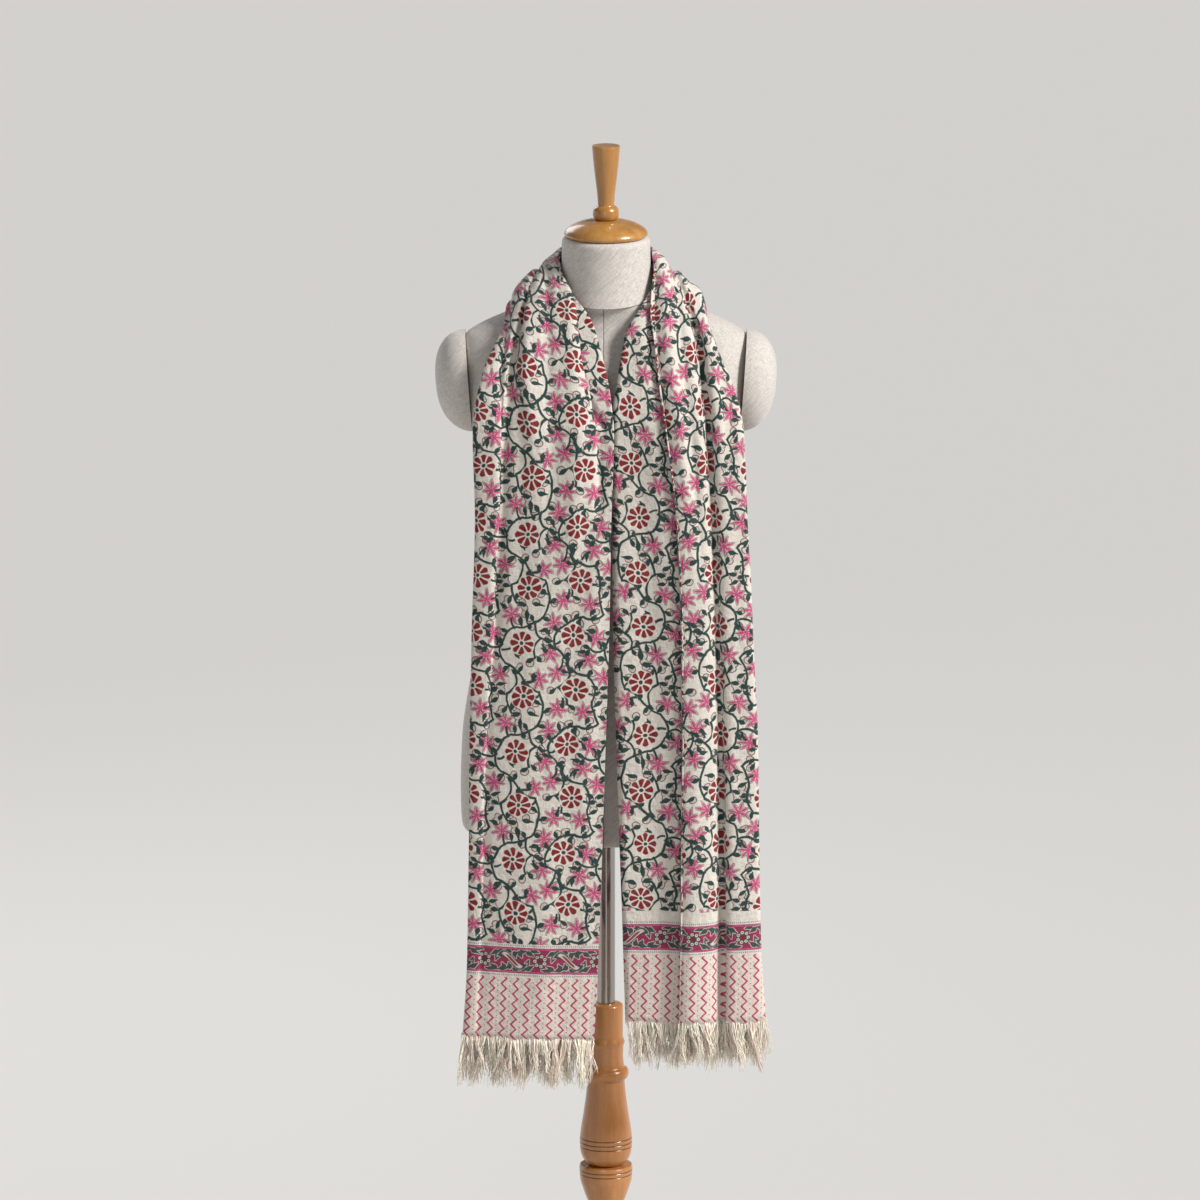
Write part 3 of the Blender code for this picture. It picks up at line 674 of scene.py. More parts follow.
# A leaf starts on a vine and points along turn, in degrees.
Leaf = namedtuple("Leaf", "x y turn long")
LEAVES = table(
    Leaf,
    (8, 6, 155, 11), (9, 16, 35, 9), (21, 43, 100, 10), (29, 46, -62, 8), (40, 53, 128, 11),
    (50, 61, -30, 9), (60, 70, 25, 10), (60, 84, 62, 10), (52, 102, 10, 10), (38, 110, 80, 11),
    (30, 114, -110, 8), (22, 115, 60, 10), (14, 122, -170, 10), (47, 57, -150, 8), (54, 38, -15, 10),
    (52, 24, 15, 11), (50, 14, -60, 11), (45, 5, -160, 10), (46, 7, 110, 9), (16, 106, 165, 9),
    (13, 96, 200, 10), (20, 72, -35, 10), (18, 74, -130, 9), (14, 84, 215, 10), (66, 2, 200, 10),
    (71, 14, 150, 11), (74, 28, 165, 10), (76, 40, 210, 10), (79, 49, 110, 10), (90, 58, 95, 10),
    (99, 62, -62, 8), (104, 65, 75, 11), (113, 72, 140, 9), (121, 82, 35, 10), (123, 93, -10, 10),
    (119, 103, 60, 9), (108, 114, 75, 11), (100, 118, 120, 9), (92, 121, -70, 8), (80, 124, 110, 10),
    (74, 126, -60, 9), (104, 55, 20, 9), (115, 36, -35, 11), (104, 16, -150, 11), (107, 19, -60, 9),
    (83, 104, -120, 11), (84, 108, 190, 9), (78, 84, 25, 11), (79, 84, -50, 10), (38, 70, 60, 9),
    (95, 82, -170, 10), (4, 98, 70, 10), (31, 113, 84, 17), (12, 3, 12, 13), (44, 1, 172, 11),
    (112, 76, 165, 10),
)
LEAF_STALK = 0.85  # half the width of a leaf's two ends
LEAF_SWELL = 14.0
BUD_ALONG = 0.72  # an outlined bud lies beside each leaf, this share of the way along it
BUD_ASIDE = 2.4
BUD_RADIUS = 4.4
BUD_LINE = 0.62  # half the width of a bud's outline
WHOLE_BLOCK = (BLOCK_X / 2, BLOCK_Y / 2)
DRIFT = 7.0  # the most by which the print drifts on the cloth, both ways together
DRIFT_SCALE = 0.045
RAGGED = 1.5  # the same for the edges of its inks


def from_place(flat, x, y, reach, shift=(0.0, 0.0)):
    """Where each point lies from the nearest copy of a place, as a vector.

    reach is half the repeat; shift is where the middle of what is drawn lies from the place.
    """
    away = vector_math(flat, "SUBTRACT", (x, y, 0.0))
    high = (shift[0] + reach[0], shift[1] + reach[1], 1.0)
    low = (shift[0] - reach[0], shift[1] - reach[1], -1.0)
    return vector_math(away, "WRAP", high, low)


def vine_distance(flat, vine):
    """How far each point lies from the middle line of a vine."""
    chord = math.hypot(vine.to_x - vine.x, vine.to_y - vine.y)
    bulge = abs(vine.bulge)
    radius = (chord * chord / 4 + bulge * bulge) / (2 * bulge)
    turn = math.atan2(vine.to_y - vine.y, vine.to_x - vine.x) + math.copysign(math.pi / 2, vine.bulge)
    back = radius - bulge
    shift = (back * math.cos(turn), back * math.sin(turn))
    centre_x = (vine.x + vine.to_x) / 2 - shift[0]
    centre_y = (vine.y + vine.to_y) / 2 - shift[1]
    half = math.asin(min(chord / (2 * radius), 1.0))
    place = from_place(flat, centre_x, centre_y, WHOLE_BLOCK, shift)
    ahead = dotted(place, math.cos(turn), math.sin(turn))
    aside = abs(dotted(place, -math.sin(turn), math.cos(turn)))
    past = aside * math.cos(half) - ahead * math.sin(half)
    return abs(wire_of(place, "LENGTH") - radius).higher(past)


def leaf_distance(flat, leaf, reach=WHOLE_BLOCK, swell=LEAF_SWELL):
    """Distances to the edge of a leaf and to the middle of the bud beside it."""
    turn = math.radians(leaf.turn)
    way_x, way_y = math.cos(turn), math.sin(turn)
    place = from_place(flat, leaf.x, leaf.y, reach)
    share = dotted(place, way_x / leaf.long, way_y / leaf.long).higher(0.0).lower(1.0)
    tip = vector_of(flat.node.id_data, way_x * leaf.long, way_y * leaf.long, 0.0)
    line = vector_math(tip, "SCALE", share)
    swollen = share.math("MULTIPLY_ADD", -swell, swell)
    wide = (share * share).math("MULTIPLY_ADD", swollen, LEAF_STALK)
    side = math.copysign(BUD_ASIDE, math.sin(leaf.x + leaf.y))
    along = BUD_ALONG * leaf.long
    bud = (way_x * along - way_y * side, way_y * along + way_x * side, 0.0)
    return wire_of(place, "DISTANCE", line) - wide, wire_of(place, "DISTANCE", bud)


def nearest(flat, places):
    """Where a point lies from the nearest of these places, and how far."""
    best = None
    for place in places:
        found = from_place(flat, place.x, place.y, WHOLE_BLOCK)
        from_x, from_y = parts_of(found)[:2]
        away = wire_of(found, "LENGTH")
        if best is None:
            best = (from_x, from_y, away)
            continue
        closer = away.math("LESS_THAN", best[2])
        best = (chosen(best[0], from_x, closer), chosen(best[1], from_y, closer), away.lower(best[2]))
    return best


def petals(from_x, from_y, away, count, turned=0.0):
    """Distance round from the middle line of the nearest petal."""
    turn = from_y.math("ARCTAN2", from_x) + turned
    return abs(turn.wrap(math.pi / count)) * away


def lowest(wires):
    return functools.reduce(Wire.lower, wires)


def repeat_print(flat):
    """The flowered ground: distances to each ink, and to the buds' outlines."""
    lines = lowest(vine_distance(flat, vine) for vine in VINES) - VINE_HALF
    buds = None
    for leaf in LEAVES:
        edge, middle = leaf_distance(flat, leaf)
        lines = lines.lower(edge)
        buds = middle if buds is None else buds.lower(middle)
    buds = buds - BUD_RADIUS

    from_x, from_y, away = nearest(flat, FLOWERS)
    round_by = petals(from_x, from_y, away, FLOWER_PETALS)
    wedge = round_by - (away * PETAL_WIDENS - 0.15)
    rounded = away + round_by * round_by * 0.12 - FLOWER_RADIUS
    crimson = wedge.higher(rounded).higher(away.less_from(FLOWER_HOLLOW))
    room = away.less_from(FLOWER_RADIUS + 1.0)
    lines = lines.higher(room).lower(away - FLOWER_EYE)
    buds = buds.higher(room)

    from_x, from_y, away = nearest(flat, STARS)
    round_by = petals(from_x, from_y, away, STAR_PETALS, STAR_TURN)
    blade = (away * (math.pi / STAR_RADIUS)).math("SINE") * STAR_BLADE + 0.15
    petal = (round_by - blade).higher(away - STAR_RADIUS)
    pink = petal.lower(away - STAR_HEART).higher(room)
    rim = (abs(petal - STAR_RIM) - 0.36).higher(away.less_from(3.0)).higher(room)
    lines = lines.higher(away.less_from(VINES_CLEAR))
    buds = buds.higher(away.less_from(BUDS_CLEAR))
    outlines = (abs(buds) - BUD_LINE).lower(rim)
    return lines, buds, outlines, crimson, pink


BAND_LOW = 82.0  # from the hem to the band's lower edge
BAND_HIGH = 114.0
BAND_MIDDLE = (BAND_LOW + BAND_HIGH) / 2
BAND_REPEAT = 68.0
RIGHT_RAISE = 8.0  # how much higher the band lies on the right half
BLANK = 12.0  # the strip without print over the band on the right half
ZIGZAG_PITCH = 14.2
ZIGZAG_FALL = 12.4
ZIGZAG_SWAY = 3.1
ZIGZAG_HALF = 1.35
ZIGZAG_DOT = 0.75


def zigzags(x, y):
    """Pink zigzag lines along the cloth with dots between them."""
    sway = (y / ZIGZAG_FALL).math("PINGPONG", 0.5) * (4 * ZIGZAG_SWAY) - ZIGZAG_SWAY
    line = abs((x - sway).wrap(ZIGZAG_PITCH / 2)) - ZIGZAG_HALF
    dot_y = (y - ZIGZAG_FALL / 4).wrap(ZIGZAG_FALL / 4)
    dot_x = (x - sway * 0.25 - ZIGZAG_PITCH / 2).wrap(ZIGZAG_PITCH / 2)
    return line, length_of(dot_x, dot_y) - ZIGZAG_DOT


BAND_REACH = (BAND_REPEAT / 2, 100.0)
BAND_LEAVES = table(
    Leaf,
    (8, 6, 30, 10), (8, -6, -35, 10), (-8, 6, 150, 10), (-8, -6, 215, 10), (2, 11, 15, 10),
    (-2, -11, 190, 10), (17, 12, -15, 10), (-17, -12, 165, 10), (14, -10, -5, 9), (-14, 10, 175, 9),
    (27, 11, -40, 8), (-27, -11, 140, 8), (14, 1, -70, 8), (-14, -1, 110, 8), (22, 4, 60, 7),
    (-22, -4, 240, 7), (30, 3, 80, 8), (-30, -3, 260, 8), (25, -12, 10, 8), (-25, 12, 190, 8),
)
BAND_SWELL = 15.0
BAND_SCROLL = 13.4  # the scroll's reach on either side of the band's middle line
BLOSSOM_PETALS = 7
BLOSSOM_RING = 6.2  # from a blossom's middle to its petals' middles
BLOSSOM_PETAL = 2.7
LONG_LEAF = 15.5  # half the length of the curved leaves between the blossoms
LONG_LEAF_HALF = 4.4
LONG_LEAF_BEND = 23.0  # half the wave that they follow
LONG_LEAF_SWAY = 7.6


def band_print(x, up):
    """The border's scroll: blossoms with curved leaves between them, outlined on pink."""
    half = BAND_REPEAT / 2
    flat = vector_of(x.tree, x, up, 0.0)
    foliage = lowest(leaf_distance(flat, leaf, BAND_REACH, BAND_SWELL)[0] for leaf in BAND_LEAVES)
    from_x = x.wrap(half)
    away = length_of(from_x, up)
    petal = length_of(away - BLOSSOM_RING, petals(from_x, up, away, BLOSSOM_PETALS)) - BLOSSOM_PETAL
    leaf_x = (x - half).wrap(half)
    tilt = up - (leaf_x * (math.pi / LONG_LEAF_BEND)).math("SINE") * LONG_LEAF_SWAY
    leaf = (length_of(leaf_x / LONG_LEAF, tilt / LONG_LEAF_HALF) - 1.0) * LONG_LEAF_HALF
    foliage = foliage.higher(leaf.less_from(1.0)).higher(petal.less_from(0.8))
    green = foliage.lower(abs(petal) - 0.7).lower(abs(leaf) - 0.75).lower(abs(away - 2.9) - 0.45)
    cream = (foliage - 0.75).lower(petal).lower(leaf)
    red = (away - 2.0).lower(leaf + 2.2).lower(petal + 1.9)
    inside = abs(up) - BAND_SCROLL
    return green.higher(inside), cream.higher(inside), red.higher(inside)


def past_band(level):
    """How far a point lies outside the band, or inside it where this is negative."""
    return abs(level - BAND_MIDDLE) - (BAND_HIGH - BAND_LOW) / 2


def cloth_finish():
    """Light woven cloth with the block print."""
    more = {"Sheen Weight": 0.25, "Sheen Roughness": 0.5, "Specular IOR Level": 0.25}
    finish, tree, shader = new_finish("printed cloth", IVORY, 0.86, more)
    across, up, printed = parts_of(stored(tree, "cloth", "Vector"))
    right = Wire(tree, stored(tree, "right_half", "Fac")).math("GREATER_THAN", 0.5)

    # The blocks were set by hand: the print drifts a little, and its inks' edges are ragged.
    flat = vector_of(tree, across, printed, 0.0)
    turned_flat = vector_of(tree, printed, across, 40.0)
    drift_x = (noise(tree, flat, DRIFT_SCALE, 1.0) - 0.5) * DRIFT
    drift_y = (noise(tree, turned_flat, DRIFT_SCALE, 1.0) - 0.5) * DRIFT
    ragged = (noise(tree, flat, 0.55, 2.0) - 0.5) * RAGGED
    drifted = vector_of(tree, across + drift_x, printed + drift_y, 0.0)
    lines, buds, outlines, crimson, pink = repeat_print(drifted)
    uneven = noise(tree, flat, 0.16, 3.0, 0.6)
    specks = noise(tree, flat, 1.1, 2.0, 0.6)

    def inked(colour, ink, distance, rough, softness, strength):
        """The colour with an ink on it wherever this distance is below nothing."""
        return mixed(colour, ink, (distance + ragged * rough).ink(softness) * strength)

    # The ground: ivory, with the faint slubs of both threads.
    warp = noise(tree, flat, 1.0, 3.0, 0.6, (0.9, 0.07, 1.0))
    weft = noise(tree, flat, 1.0, 3.0, 0.6, (0.07, 0.9, 1.0))
    slubs = warp * 0.5 + weft * 0.5
    ground = mixed(GROUND_DARK, GROUND_LIGHT, (slubs - 0.32).math("MULTIPLY", 2.6, clamp=True))

    # The flowered field, as far down as the band.
    level = up - right * RIGHT_RAISE
    flowered_from = right * BLANK + BAND_HIGH + 4.5
    in_field = (flowered_from - level).ink(0.6)
    wear = (uneven + specks * 0.5).math("MULTIPLY_ADD", 1.5, -0.25, clamp=True)
    bud_ink = (outlines + ragged * 0.25).ink(0.6) * 0.9 * in_field
    stipple = (buds + 1.0).ink(1.5) * specks.less_from(0.49).math("MULTIPLY", 12.0, clamp=True) * 0.9
    colour = mixed(ground, BUD, (bud_ink + stipple * in_field).math("MINIMUM", 1.0))
    colour = inked(colour, PINK, pink, 0.6, 0.7, (wear * 0.3 + 0.70) * in_field)
    colour = inked(colour, CRIMSON, crimson, 0.35, 0.6, (wear * 0.12 + 0.88) * in_field)
    colour = inked(colour, GREEN, lines, 0.6, 0.7, (wear * 0.15 + 0.86) * in_field)

    # The end of the cloth: the band with its edge lines, rows of dashes, zigzags.
    green, cream, red = band_print(across + drift_x * 0.3, level - BAND_MIDDLE)
    in_band = (past_band(level) + ragged * 0.3).ink(0.5)
    band = inked(BAND_PINK, BAND_CREAM, cream, 0.4, 0.6, 0.9)
    band = inked(band, CRIMSON, red, 0.4, 0.6, 0.9)
    band = inked(band, GREEN, green, 0.4, 0.6, 0.95)
    edge_line = abs(past_band(level) + 1.6) - 0.7
    band = mixed(band, BAND_EDGE, edge_line.ink(0.5) * 0.8)
    dash_row = abs(past_band(level) - 2.4) - 0.9
    dashes = (abs(across.wrap(1.15)) - 0.5).higher(dash_row)
    colour = mixed(colour, DASH, dashes.ink(0.5) * 0.8)
    zigzag, dots = zigzags(across + drift_x * 0.25, level)
    in_zigzag = (level - (BAND_LOW - 5.5)).ink(0.6)
    colour = mixed(colour, ZIGZAG_GROUND, in_zigzag * 0.45)
    colour = inked(colour, ZIGZAG_PINK, zigzag, 0.4, 0.6, (wear * 0.2 + 0.8) * in_zigzag)
    colour = inked(colour, ZIGZAG_DOTS, dots, 0.2, 0.5, in_zigzag * 0.8)
    colour = mixed(colour, band, in_band)
    tree.links.new(colour, shader.inputs["Base Color"])

    crumple = noise(tree, flat, 0.12, 3.0, 0.55)
    add_bump(tree, shader, slubs * 0.5 + crumple * 2.2 + specks * 0.25, 0.0011, 0.75)
    return finish


# ---------------------------------------------------------------- the fringe

THREADS = 1250  # at each end
THREAD_POINTS = 9
THREAD_SIDES = 3
THREAD_RADIUS = 0.00058
FRINGE_LENGTH = 0.057
TUCK = 0.0015  # the threads start this far above the hem
KNOT = 0.55  # a clump has closed by this share of its length, and opens again below
STRAY_SHARE = 0.18  # of the threads keep out of their clump
STRAY_CURL = 4.5  # times as much as the others
CLUMP = 0.0082  # threads cling together in clumps about this far apart
Clump = namedtuple("Clump", "end middle lean out length swing phase waves")


def draw_clumps(draw, reach):
    """Clumps side by side along a hem, each with its own lean, length and wave."""
    clumps = []
    at = 0.0
    while at < reach:
        width = CLUMP * draw.uniform(0.55, 1.6)
        lean = draw.uniform(-0.011, 0.011)
        out = draw.uniform(-0.004, 0.004)
        length = draw.uniform(0.74, 1.10)
        swing = draw.uniform(0.0008, 0.0042)
        phase = draw.uniform(0, 2 * math.pi)
        waves = draw.uniform(0.8, 1.7)
        clumps.append(Clump(at + width, at + width / 2, lean, out, length, swing, phase, waves))
        at += width
    return clumps


def draw_thread(draw, clump, at):
    """One thread's turn, and how far it lies across, out and up from its root at each point."""
    stray = draw.random() < STRAY_SHARE
    gather = draw.uniform(0.1, 0.5) if stray else draw.uniform(0.78, 0.97)
    splay = draw.gauss(0, 0.0010)
    splay_out = draw.gauss(0, 0.0008)
    length = FRINGE_LENGTH * clump.length * draw.uniform(0.80, 1.03)
    curl = draw.uniform(0.0002, 0.0011) * (STRAY_CURL if stray else 1.0)
    phase = draw.uniform(0, 2 * math.pi)
    waves = draw.uniform(2.0, 4.5)
    path = []
    for step in range(THREAD_POINTS):
        share = step / (THREAD_POINTS - 1)
        closing = min(share / KNOT, 1.0) ** 0.8 * gather
        opening = 1 + max(share - KNOT, 0.0) * 3.0
        swing = clump.swing * share * math.sin(clump.phase + clump.waves * math.pi * share)
        own = curl * math.sin(phase + waves * math.pi * share) * min(3 * share, 1)
        aside = (clump.middle - at) * closing + clump.lean * share + swing + own + splay * opening
        out = clump.out * share + 0.5 * swing + own + splay_out * opening * min(2 * share, 1)
        path.append((aside, out, TUCK * (1 - share) - length * share))
    return phase, path


def add_fringe(name, rows, side, grid, finish, seed):
    """Frayed threads that hang from a hem, in loose clumps with stray threads between them."""
    draw = random.Random(seed)
    across, outward = section_path(rows, len(rows) - 1, side)[1:]
    upward = np.array([0.0, 0.0, 1.0])
    hem = grid[-1]
    steps = np.linalg.norm(np.diff(hem, axis=0), axis=1)
    reached = np.concatenate([[0], np.cumsum(steps)])
    clumps = draw_clumps(draw, reached[-1])
    points = []
    faces = []
    shades = []
    for thread in range(THREADS):
        at = reached[-1] * (thread + draw.uniform(0.1, 0.9)) / THREADS
        root = np.array([np.interp(at, reached, hem[:, axis]) for axis in range(3)])
        clump = next(found for found in clumps if at <= found.end)
        phase, path = draw_thread(draw, clump, at)
        rings = []
        for step, (aside, out, rise) in enumerate(path):
            middle = root + upward * rise + across * aside + outward * out
            radius = THREAD_RADIUS * (1.0 - 0.5 * step / (THREAD_POINTS - 1))
            ring = []
            for turn in turns(THREAD_SIDES):
                round_by = across * math.cos(turn + phase) + outward * math.sin(turn + phase)
                ring.append(middle + round_by * radius)
            rings.append(ring)
        thread_points, thread_faces = skin_rings(rings)
        faces += [tuple(len(points) + corner for corner in face) for face in thread_faces]
        points += thread_points
        shades += [draw.random()] * len(thread_points)
    made = mesh_object(name, points, faces, finish)
    add_numbers(made.data, "shade", shades)
    return made


def thread_finish():
    """Cream threads, a few of them dyed pink by the print."""
    more = {"Sheen Weight": 0.2, "Specular IOR Level": 0.25}
    finish, tree, shader = new_finish("frayed thread", (0.74, 0.68, 0.58), 0.85, more)
    shade = Wire(tree, stored(tree, "shade", "Fac"))
    dyed = (shade.wrap(0.08) - 0.066).math("GREATER_THAN", 0.0)
    colour = mixed(THREAD_DARK, THREAD_LIGHT, shade)
    colour = mixed(colour, THREAD_DYED, dyed * 0.7)
    tree.links.new(colour, shader.inputs["Base Color"])
    return finish


# ---------------------------------------------------------------- the form

LINEN_DARK = (0.47, 0.44, 0.41)
LINEN_LIGHT = (0.71, 0.675, 0.64)
LINEN_PATCH = (0.56, 0.51, 0.46)
LINEN_SEAM = (0.20, 0.18, 0.165)
HONEY_LIGHT = (0.56, 0.29, 0.075)
HONEY_DARK = (0.31, 0.125, 0.027)
COLUMN_LIGHT = (0.53, 0.235, 0.072)
COLUMN_DARK = (0.33, 0.122, 0.030)
# the colour that makes the incised rings darker than the wood round them
GROOVE_DARKENING = (0.06, 0.025, 0.01)

TorsoRing = namedtuple("TorsoRing", "height half_width front back square tilt")
TORSO = table(
    TorsoRing,
    (0.7030, 0.1620, 0.088, 0.100, 1.00, 0.00),
    (0.7060, 0.1690, 0.093, 0.106, 1.00, 0.00),
    (0.7160, 0.1735, 0.096, 0.110, 1.00, 0.00),
    (0.7600, 0.1750, 0.098, 0.113, 1.00, 0.00),
    (0.8200, 0.1730, 0.098, 0.114, 1.00, 0.00),
    (0.8800, 0.1650, 0.095, 0.110, 1.00, 0.00),
    (0.9400, 0.1510, 0.089, 0.098, 1.00, 0.00),
    (1.0000, 0.1350, 0.083, 0.086, 1.00, 0.00),
    (1.0500, 0.1290, 0.082, 0.080, 1.00, 0.00),
    (1.1000, 0.1340, 0.088, 0.080, 0.98, 0.00),
    (1.1450, 0.1450, 0.096, 0.083, 0.92, 0.00),
    (1.1900, 0.1590, 0.098, 0.086, 0.84, 0.00),
    (1.2300, 0.1700, 0.093, 0.086, 0.78, 0.00),
    (1.2650, 0.1740, 0.084, 0.082, 0.78, 0.00),
    (1.2950, 0.1730, 0.071, 0.072, 0.80, 0.00),
    (1.3120, 0.1680, 0.060, 0.062, 0.84, 0.02),
    (1.3240, 0.1520, 0.053, 0.054, 0.88, 0.04),
    (1.3400, 0.1150, 0.050, 0.050, 0.94, 0.10),
    (1.3530, 0.0850, 0.051, 0.051, 1.00, 0.15),
    (1.3660, 0.0600, 0.055, 0.055, 1.00, 0.20),
)
SEAM = 0.0003
WAIST = 1.0500
ARMHOLE_BOTTOM = 1.1950
ARMHOLE_TOP = 1.3180
ARMHOLE_HALF_WIDTH = 0.1590
ARMHOLE_SLANT = 0.0730
SHOULDER_CAP_REACH = 0.0400
SHOULDER_CAP_HALF_DEPTH = 0.0540
SHOULDER_CAP_RINGS = 16
NECK_BASE = 1.3660
NECK_TOP = 1.4310
CAP_TOP = 1.4520
NECK = (  # height, radius and tilt
    (NECK_BASE + SEAM, 0.0592, 0.20),
    (1.3780, 0.0560, 0.14),
    (1.3950, 0.0538, 0.07),
    (1.4120, 0.0528, 0.02),
    (1.4240, 0.0528, 0.00),
    (1.4290, 0.0512, 0.00),
    (NECK_TOP, 0.0480, 0.00),
)
COVER_FINER = 5  # rings of the linen covers for each row of their tables
TORSO_SIDES = 96
NECK_SIDES = 64
SHOULDER_CAP_SIDES = 48


def smooth_rows(rows, finer):
    """More rows between a table's own, on a smooth curve through them that doesn't overshoot."""
    table = np.array(rows, dtype=float)
    slopes = np.zeros_like(table)
    rises = np.diff(table, axis=0)
    for row in range(1, len(table) - 1):
        before, after = rises[row - 1], rises[row]
        same = before * after > 0
        total = np.where(same, before + after, 1)
        slopes[row] = np.where(same, 2 * before * after / total, 0)
    slopes[0], slopes[-1] = rises[0], rises[-1]
    made = []
    for row in range(len(table) - 1):
        for step in range(finer):
            made.append(spline(table[row], slopes[row], table[row + 1], slopes[row + 1], step / finer))
    made.append(table[-1])
    return made


def signed_power(value, power):
    return math.copysign(abs(value) ** power, value)


def armhole_half_width(height):
    return ARMHOLE_HALF_WIDTH + ARMHOLE_SLANT * (height - ARMHOLE_BOTTOM)


def add_torso(finish):
    rings = []
    for values in smooth_rows(TORSO, COVER_FINER):
        row = TorsoRing(*values)
        flat = armhole_half_width(row.height) if row.height > WAIST else row.half_width
        ring = []
        for turn in turns(TORSO_SIDES):
            x = row.half_width * signed_power(math.cos(turn), row.square)
            depth = row.front if math.sin(turn) < 0 else row.back
            y = depth * signed_power(math.sin(turn), row.square)
            ring.append((max(-flat, min(flat, x)), y, row.height + row.tilt * y))
        rings.append(ring)
    return ring_object("torso_cover", rings, finish, 50)


def add_neck(finish):
    rings = []
    for height, radius, tilt in smooth_rows(NECK, COVER_FINER):
        ring = []
        for turn in turns(NECK_SIDES):
            y = radius * math.sin(turn)
            ring.append((radius * math.cos(turn), y, height + tilt * y))
        rings.append(ring)
    return ring_object("neck_cover", rings, finish, 50)


def add_shoulder_cap(name, side, finish):
    """A cap over one armhole, on rings that close outwards; side is -1 on the left."""
    middle = (ARMHOLE_TOP + ARMHOLE_BOTTOM) / 2
    half_height = (ARMHOLE_TOP - ARMHOLE_BOTTOM) / 2
    rings = []
    for row in range(SHOULDER_CAP_RINGS):
        quarter = 0.5 * math.pi * row / (SHOULDER_CAP_RINGS - 0.6)
        scale = math.cos(quarter) ** 0.8
        reach = SEAM + SHOULDER_CAP_REACH * math.sin(quarter)
        ring = []
        for turn in turns(SHOULDER_CAP_SIDES):
            height = middle + half_height * scale * math.sin(side * turn)
            depth = SHOULDER_CAP_HALF_DEPTH * scale * math.cos(side * turn)
            ring.append((side * (armhole_half_width(height) + reach), depth, height))
        rings.append(ring)
    return ring_object(name, rings, finish, 60)


def linen_finish():
    """Grey-beige linen laid on the bias, with slubs, and the form's centre-front seam."""
    more = {"Sheen Weight": 0.3, "Specular IOR Level": 0.2}
    finish, tree, shader = new_finish("linen", (0.62, 0.58, 0.54), 0.92, more)
    spot = object_place(tree)
    x, y, z = parts_of(spot)
    bias = vector_of(tree, x + z, y, x - z)
    one = noise(tree, bias, 640.0, 2.0, 0.6, (0.07, 0.5, 1.0))
    other = noise(tree, bias, 800.0, 2.0, 0.6, (1.0, 0.5, 0.08))
    weave = one * 0.64 + other * 0.36
    patches = noise(tree, spot, 14.0, 3.0)
    colour = mixed(LINEN_DARK, LINEN_LIGHT, (weave - 0.38).math("MULTIPLY", 4.0, clamp=True))
    colour = mixed(colour, LINEN_PATCH, patches * 0.35)
    front = (y + 0.02).math("LESS_THAN", 0.0)
    below = z.math("LESS_THAN", NECK_BASE - 0.012)
    centre = (abs(x + 0.0030) - 0.0005).ink(0.0006) * front * below
    colour = mixed(colour, LINEN_SEAM, centre * 0.7)
    tree.links.new(colour, shader.inputs["Base Color"])
    add_bump(tree, shader, weave - centre * 1.2, 0.0011, 0.9)
    return finish


# ---------------------------------------------------------------- wood and steel


def raised(by, profile):
    """A profile with its heights counted from another place."""
    return tuple((by + height, radius) for height, radius in profile)


# Each turned piece is a profile of heights and radii.
NECK_CAP = raised(
    NECK_TOP,
    (
        (SEAM, 0.0440), (0.0012, 0.0480), (0.0045, 0.0501), (0.0085, 0.0480), (0.0130, 0.0420),
        (0.0175, 0.0320), (0.0202, 0.0210), (CAP_TOP - NECK_TOP, 0.0140),
    ),
)
FINIAL = raised(
    CAP_TOP,
    (
        (SEAM, 0.0132), (0.0025, 0.0149), (0.0065, 0.0158), (0.0110, 0.0153), (0.0150, 0.0132),
        (0.0180, 0.0098), (0.0300, 0.0106), (0.0520, 0.0132), (0.0700, 0.0152), (0.0875, 0.0167),
        (0.0893, 0.0163),
    ),
)
BASE_TOP = 0.0640
CUP_TOP = 0.2870
COLUMN_TOP = 0.4890
COLUMN = (
    # the vase, with its grooves
    (CUP_TOP + SEAM, 0.0200), (0.2905, 0.0245), (0.2960, 0.0284), (0.3050, 0.0311), (0.3180, 0.0318),
    (0.3330, 0.0303), (0.3550, 0.0268), (0.3800, 0.0236), (0.3925, 0.0227),
    # the lower bead
    (0.3965, 0.0262), (0.4020, 0.0277), (0.4070, 0.0262), (0.4100, 0.0224),
    # the thin bead, and the straight end
    (0.4230, 0.0209), (0.4350, 0.0213), (0.4400, 0.0227), (0.4450, 0.0213), (0.4480, 0.0206),
    (0.4830, 0.0208), (0.4870, 0.0198), (COLUMN_TOP, 0.0165),
)
COLUMN_CUP = (
    (BASE_TOP + SEAM, 0.0190), (0.0800, 0.0172), (0.1500, 0.0165), (0.2200, 0.0172), (0.2330, 0.0180),
    (0.2400, 0.0215), (0.2560, 0.0275), (0.2700, 0.0314), (0.2830, 0.0323), (CUP_TOP, 0.0312),
)
BASE_RADIUS = 0.165
BASE = (
    (0.0000, BASE_RADIUS - 0.004), (0.0040, BASE_RADIUS), (0.0160, BASE_RADIUS),
    (0.0220, BASE_RADIUS - 0.006), (0.0270, BASE_RADIUS - 0.022), (0.0330, 0.0900),
    (0.0420, 0.0430), (0.0560, 0.0290), (BASE_TOP, 0.0250),
)
POLE_RADIUS = 0.011
POLE = ((COLUMN_TOP + SEAM, POLE_RADIUS), (TORSO[0].height - SEAM, POLE_RADIUS))
COLUMN_GROOVES = (0.3216, 0.3161, 0.3106)
CUP_GROOVES = (0.2812, 0.2762)
GROOVE_HALF = 0.0007
GROOVE_DEPTH = 0.0006
GROOVE_SHAPE = ((-1.2, 0.0), (-0.5, 0.8), (0.0, 1.0), (0.5, 0.8), (1.2, 0.0))


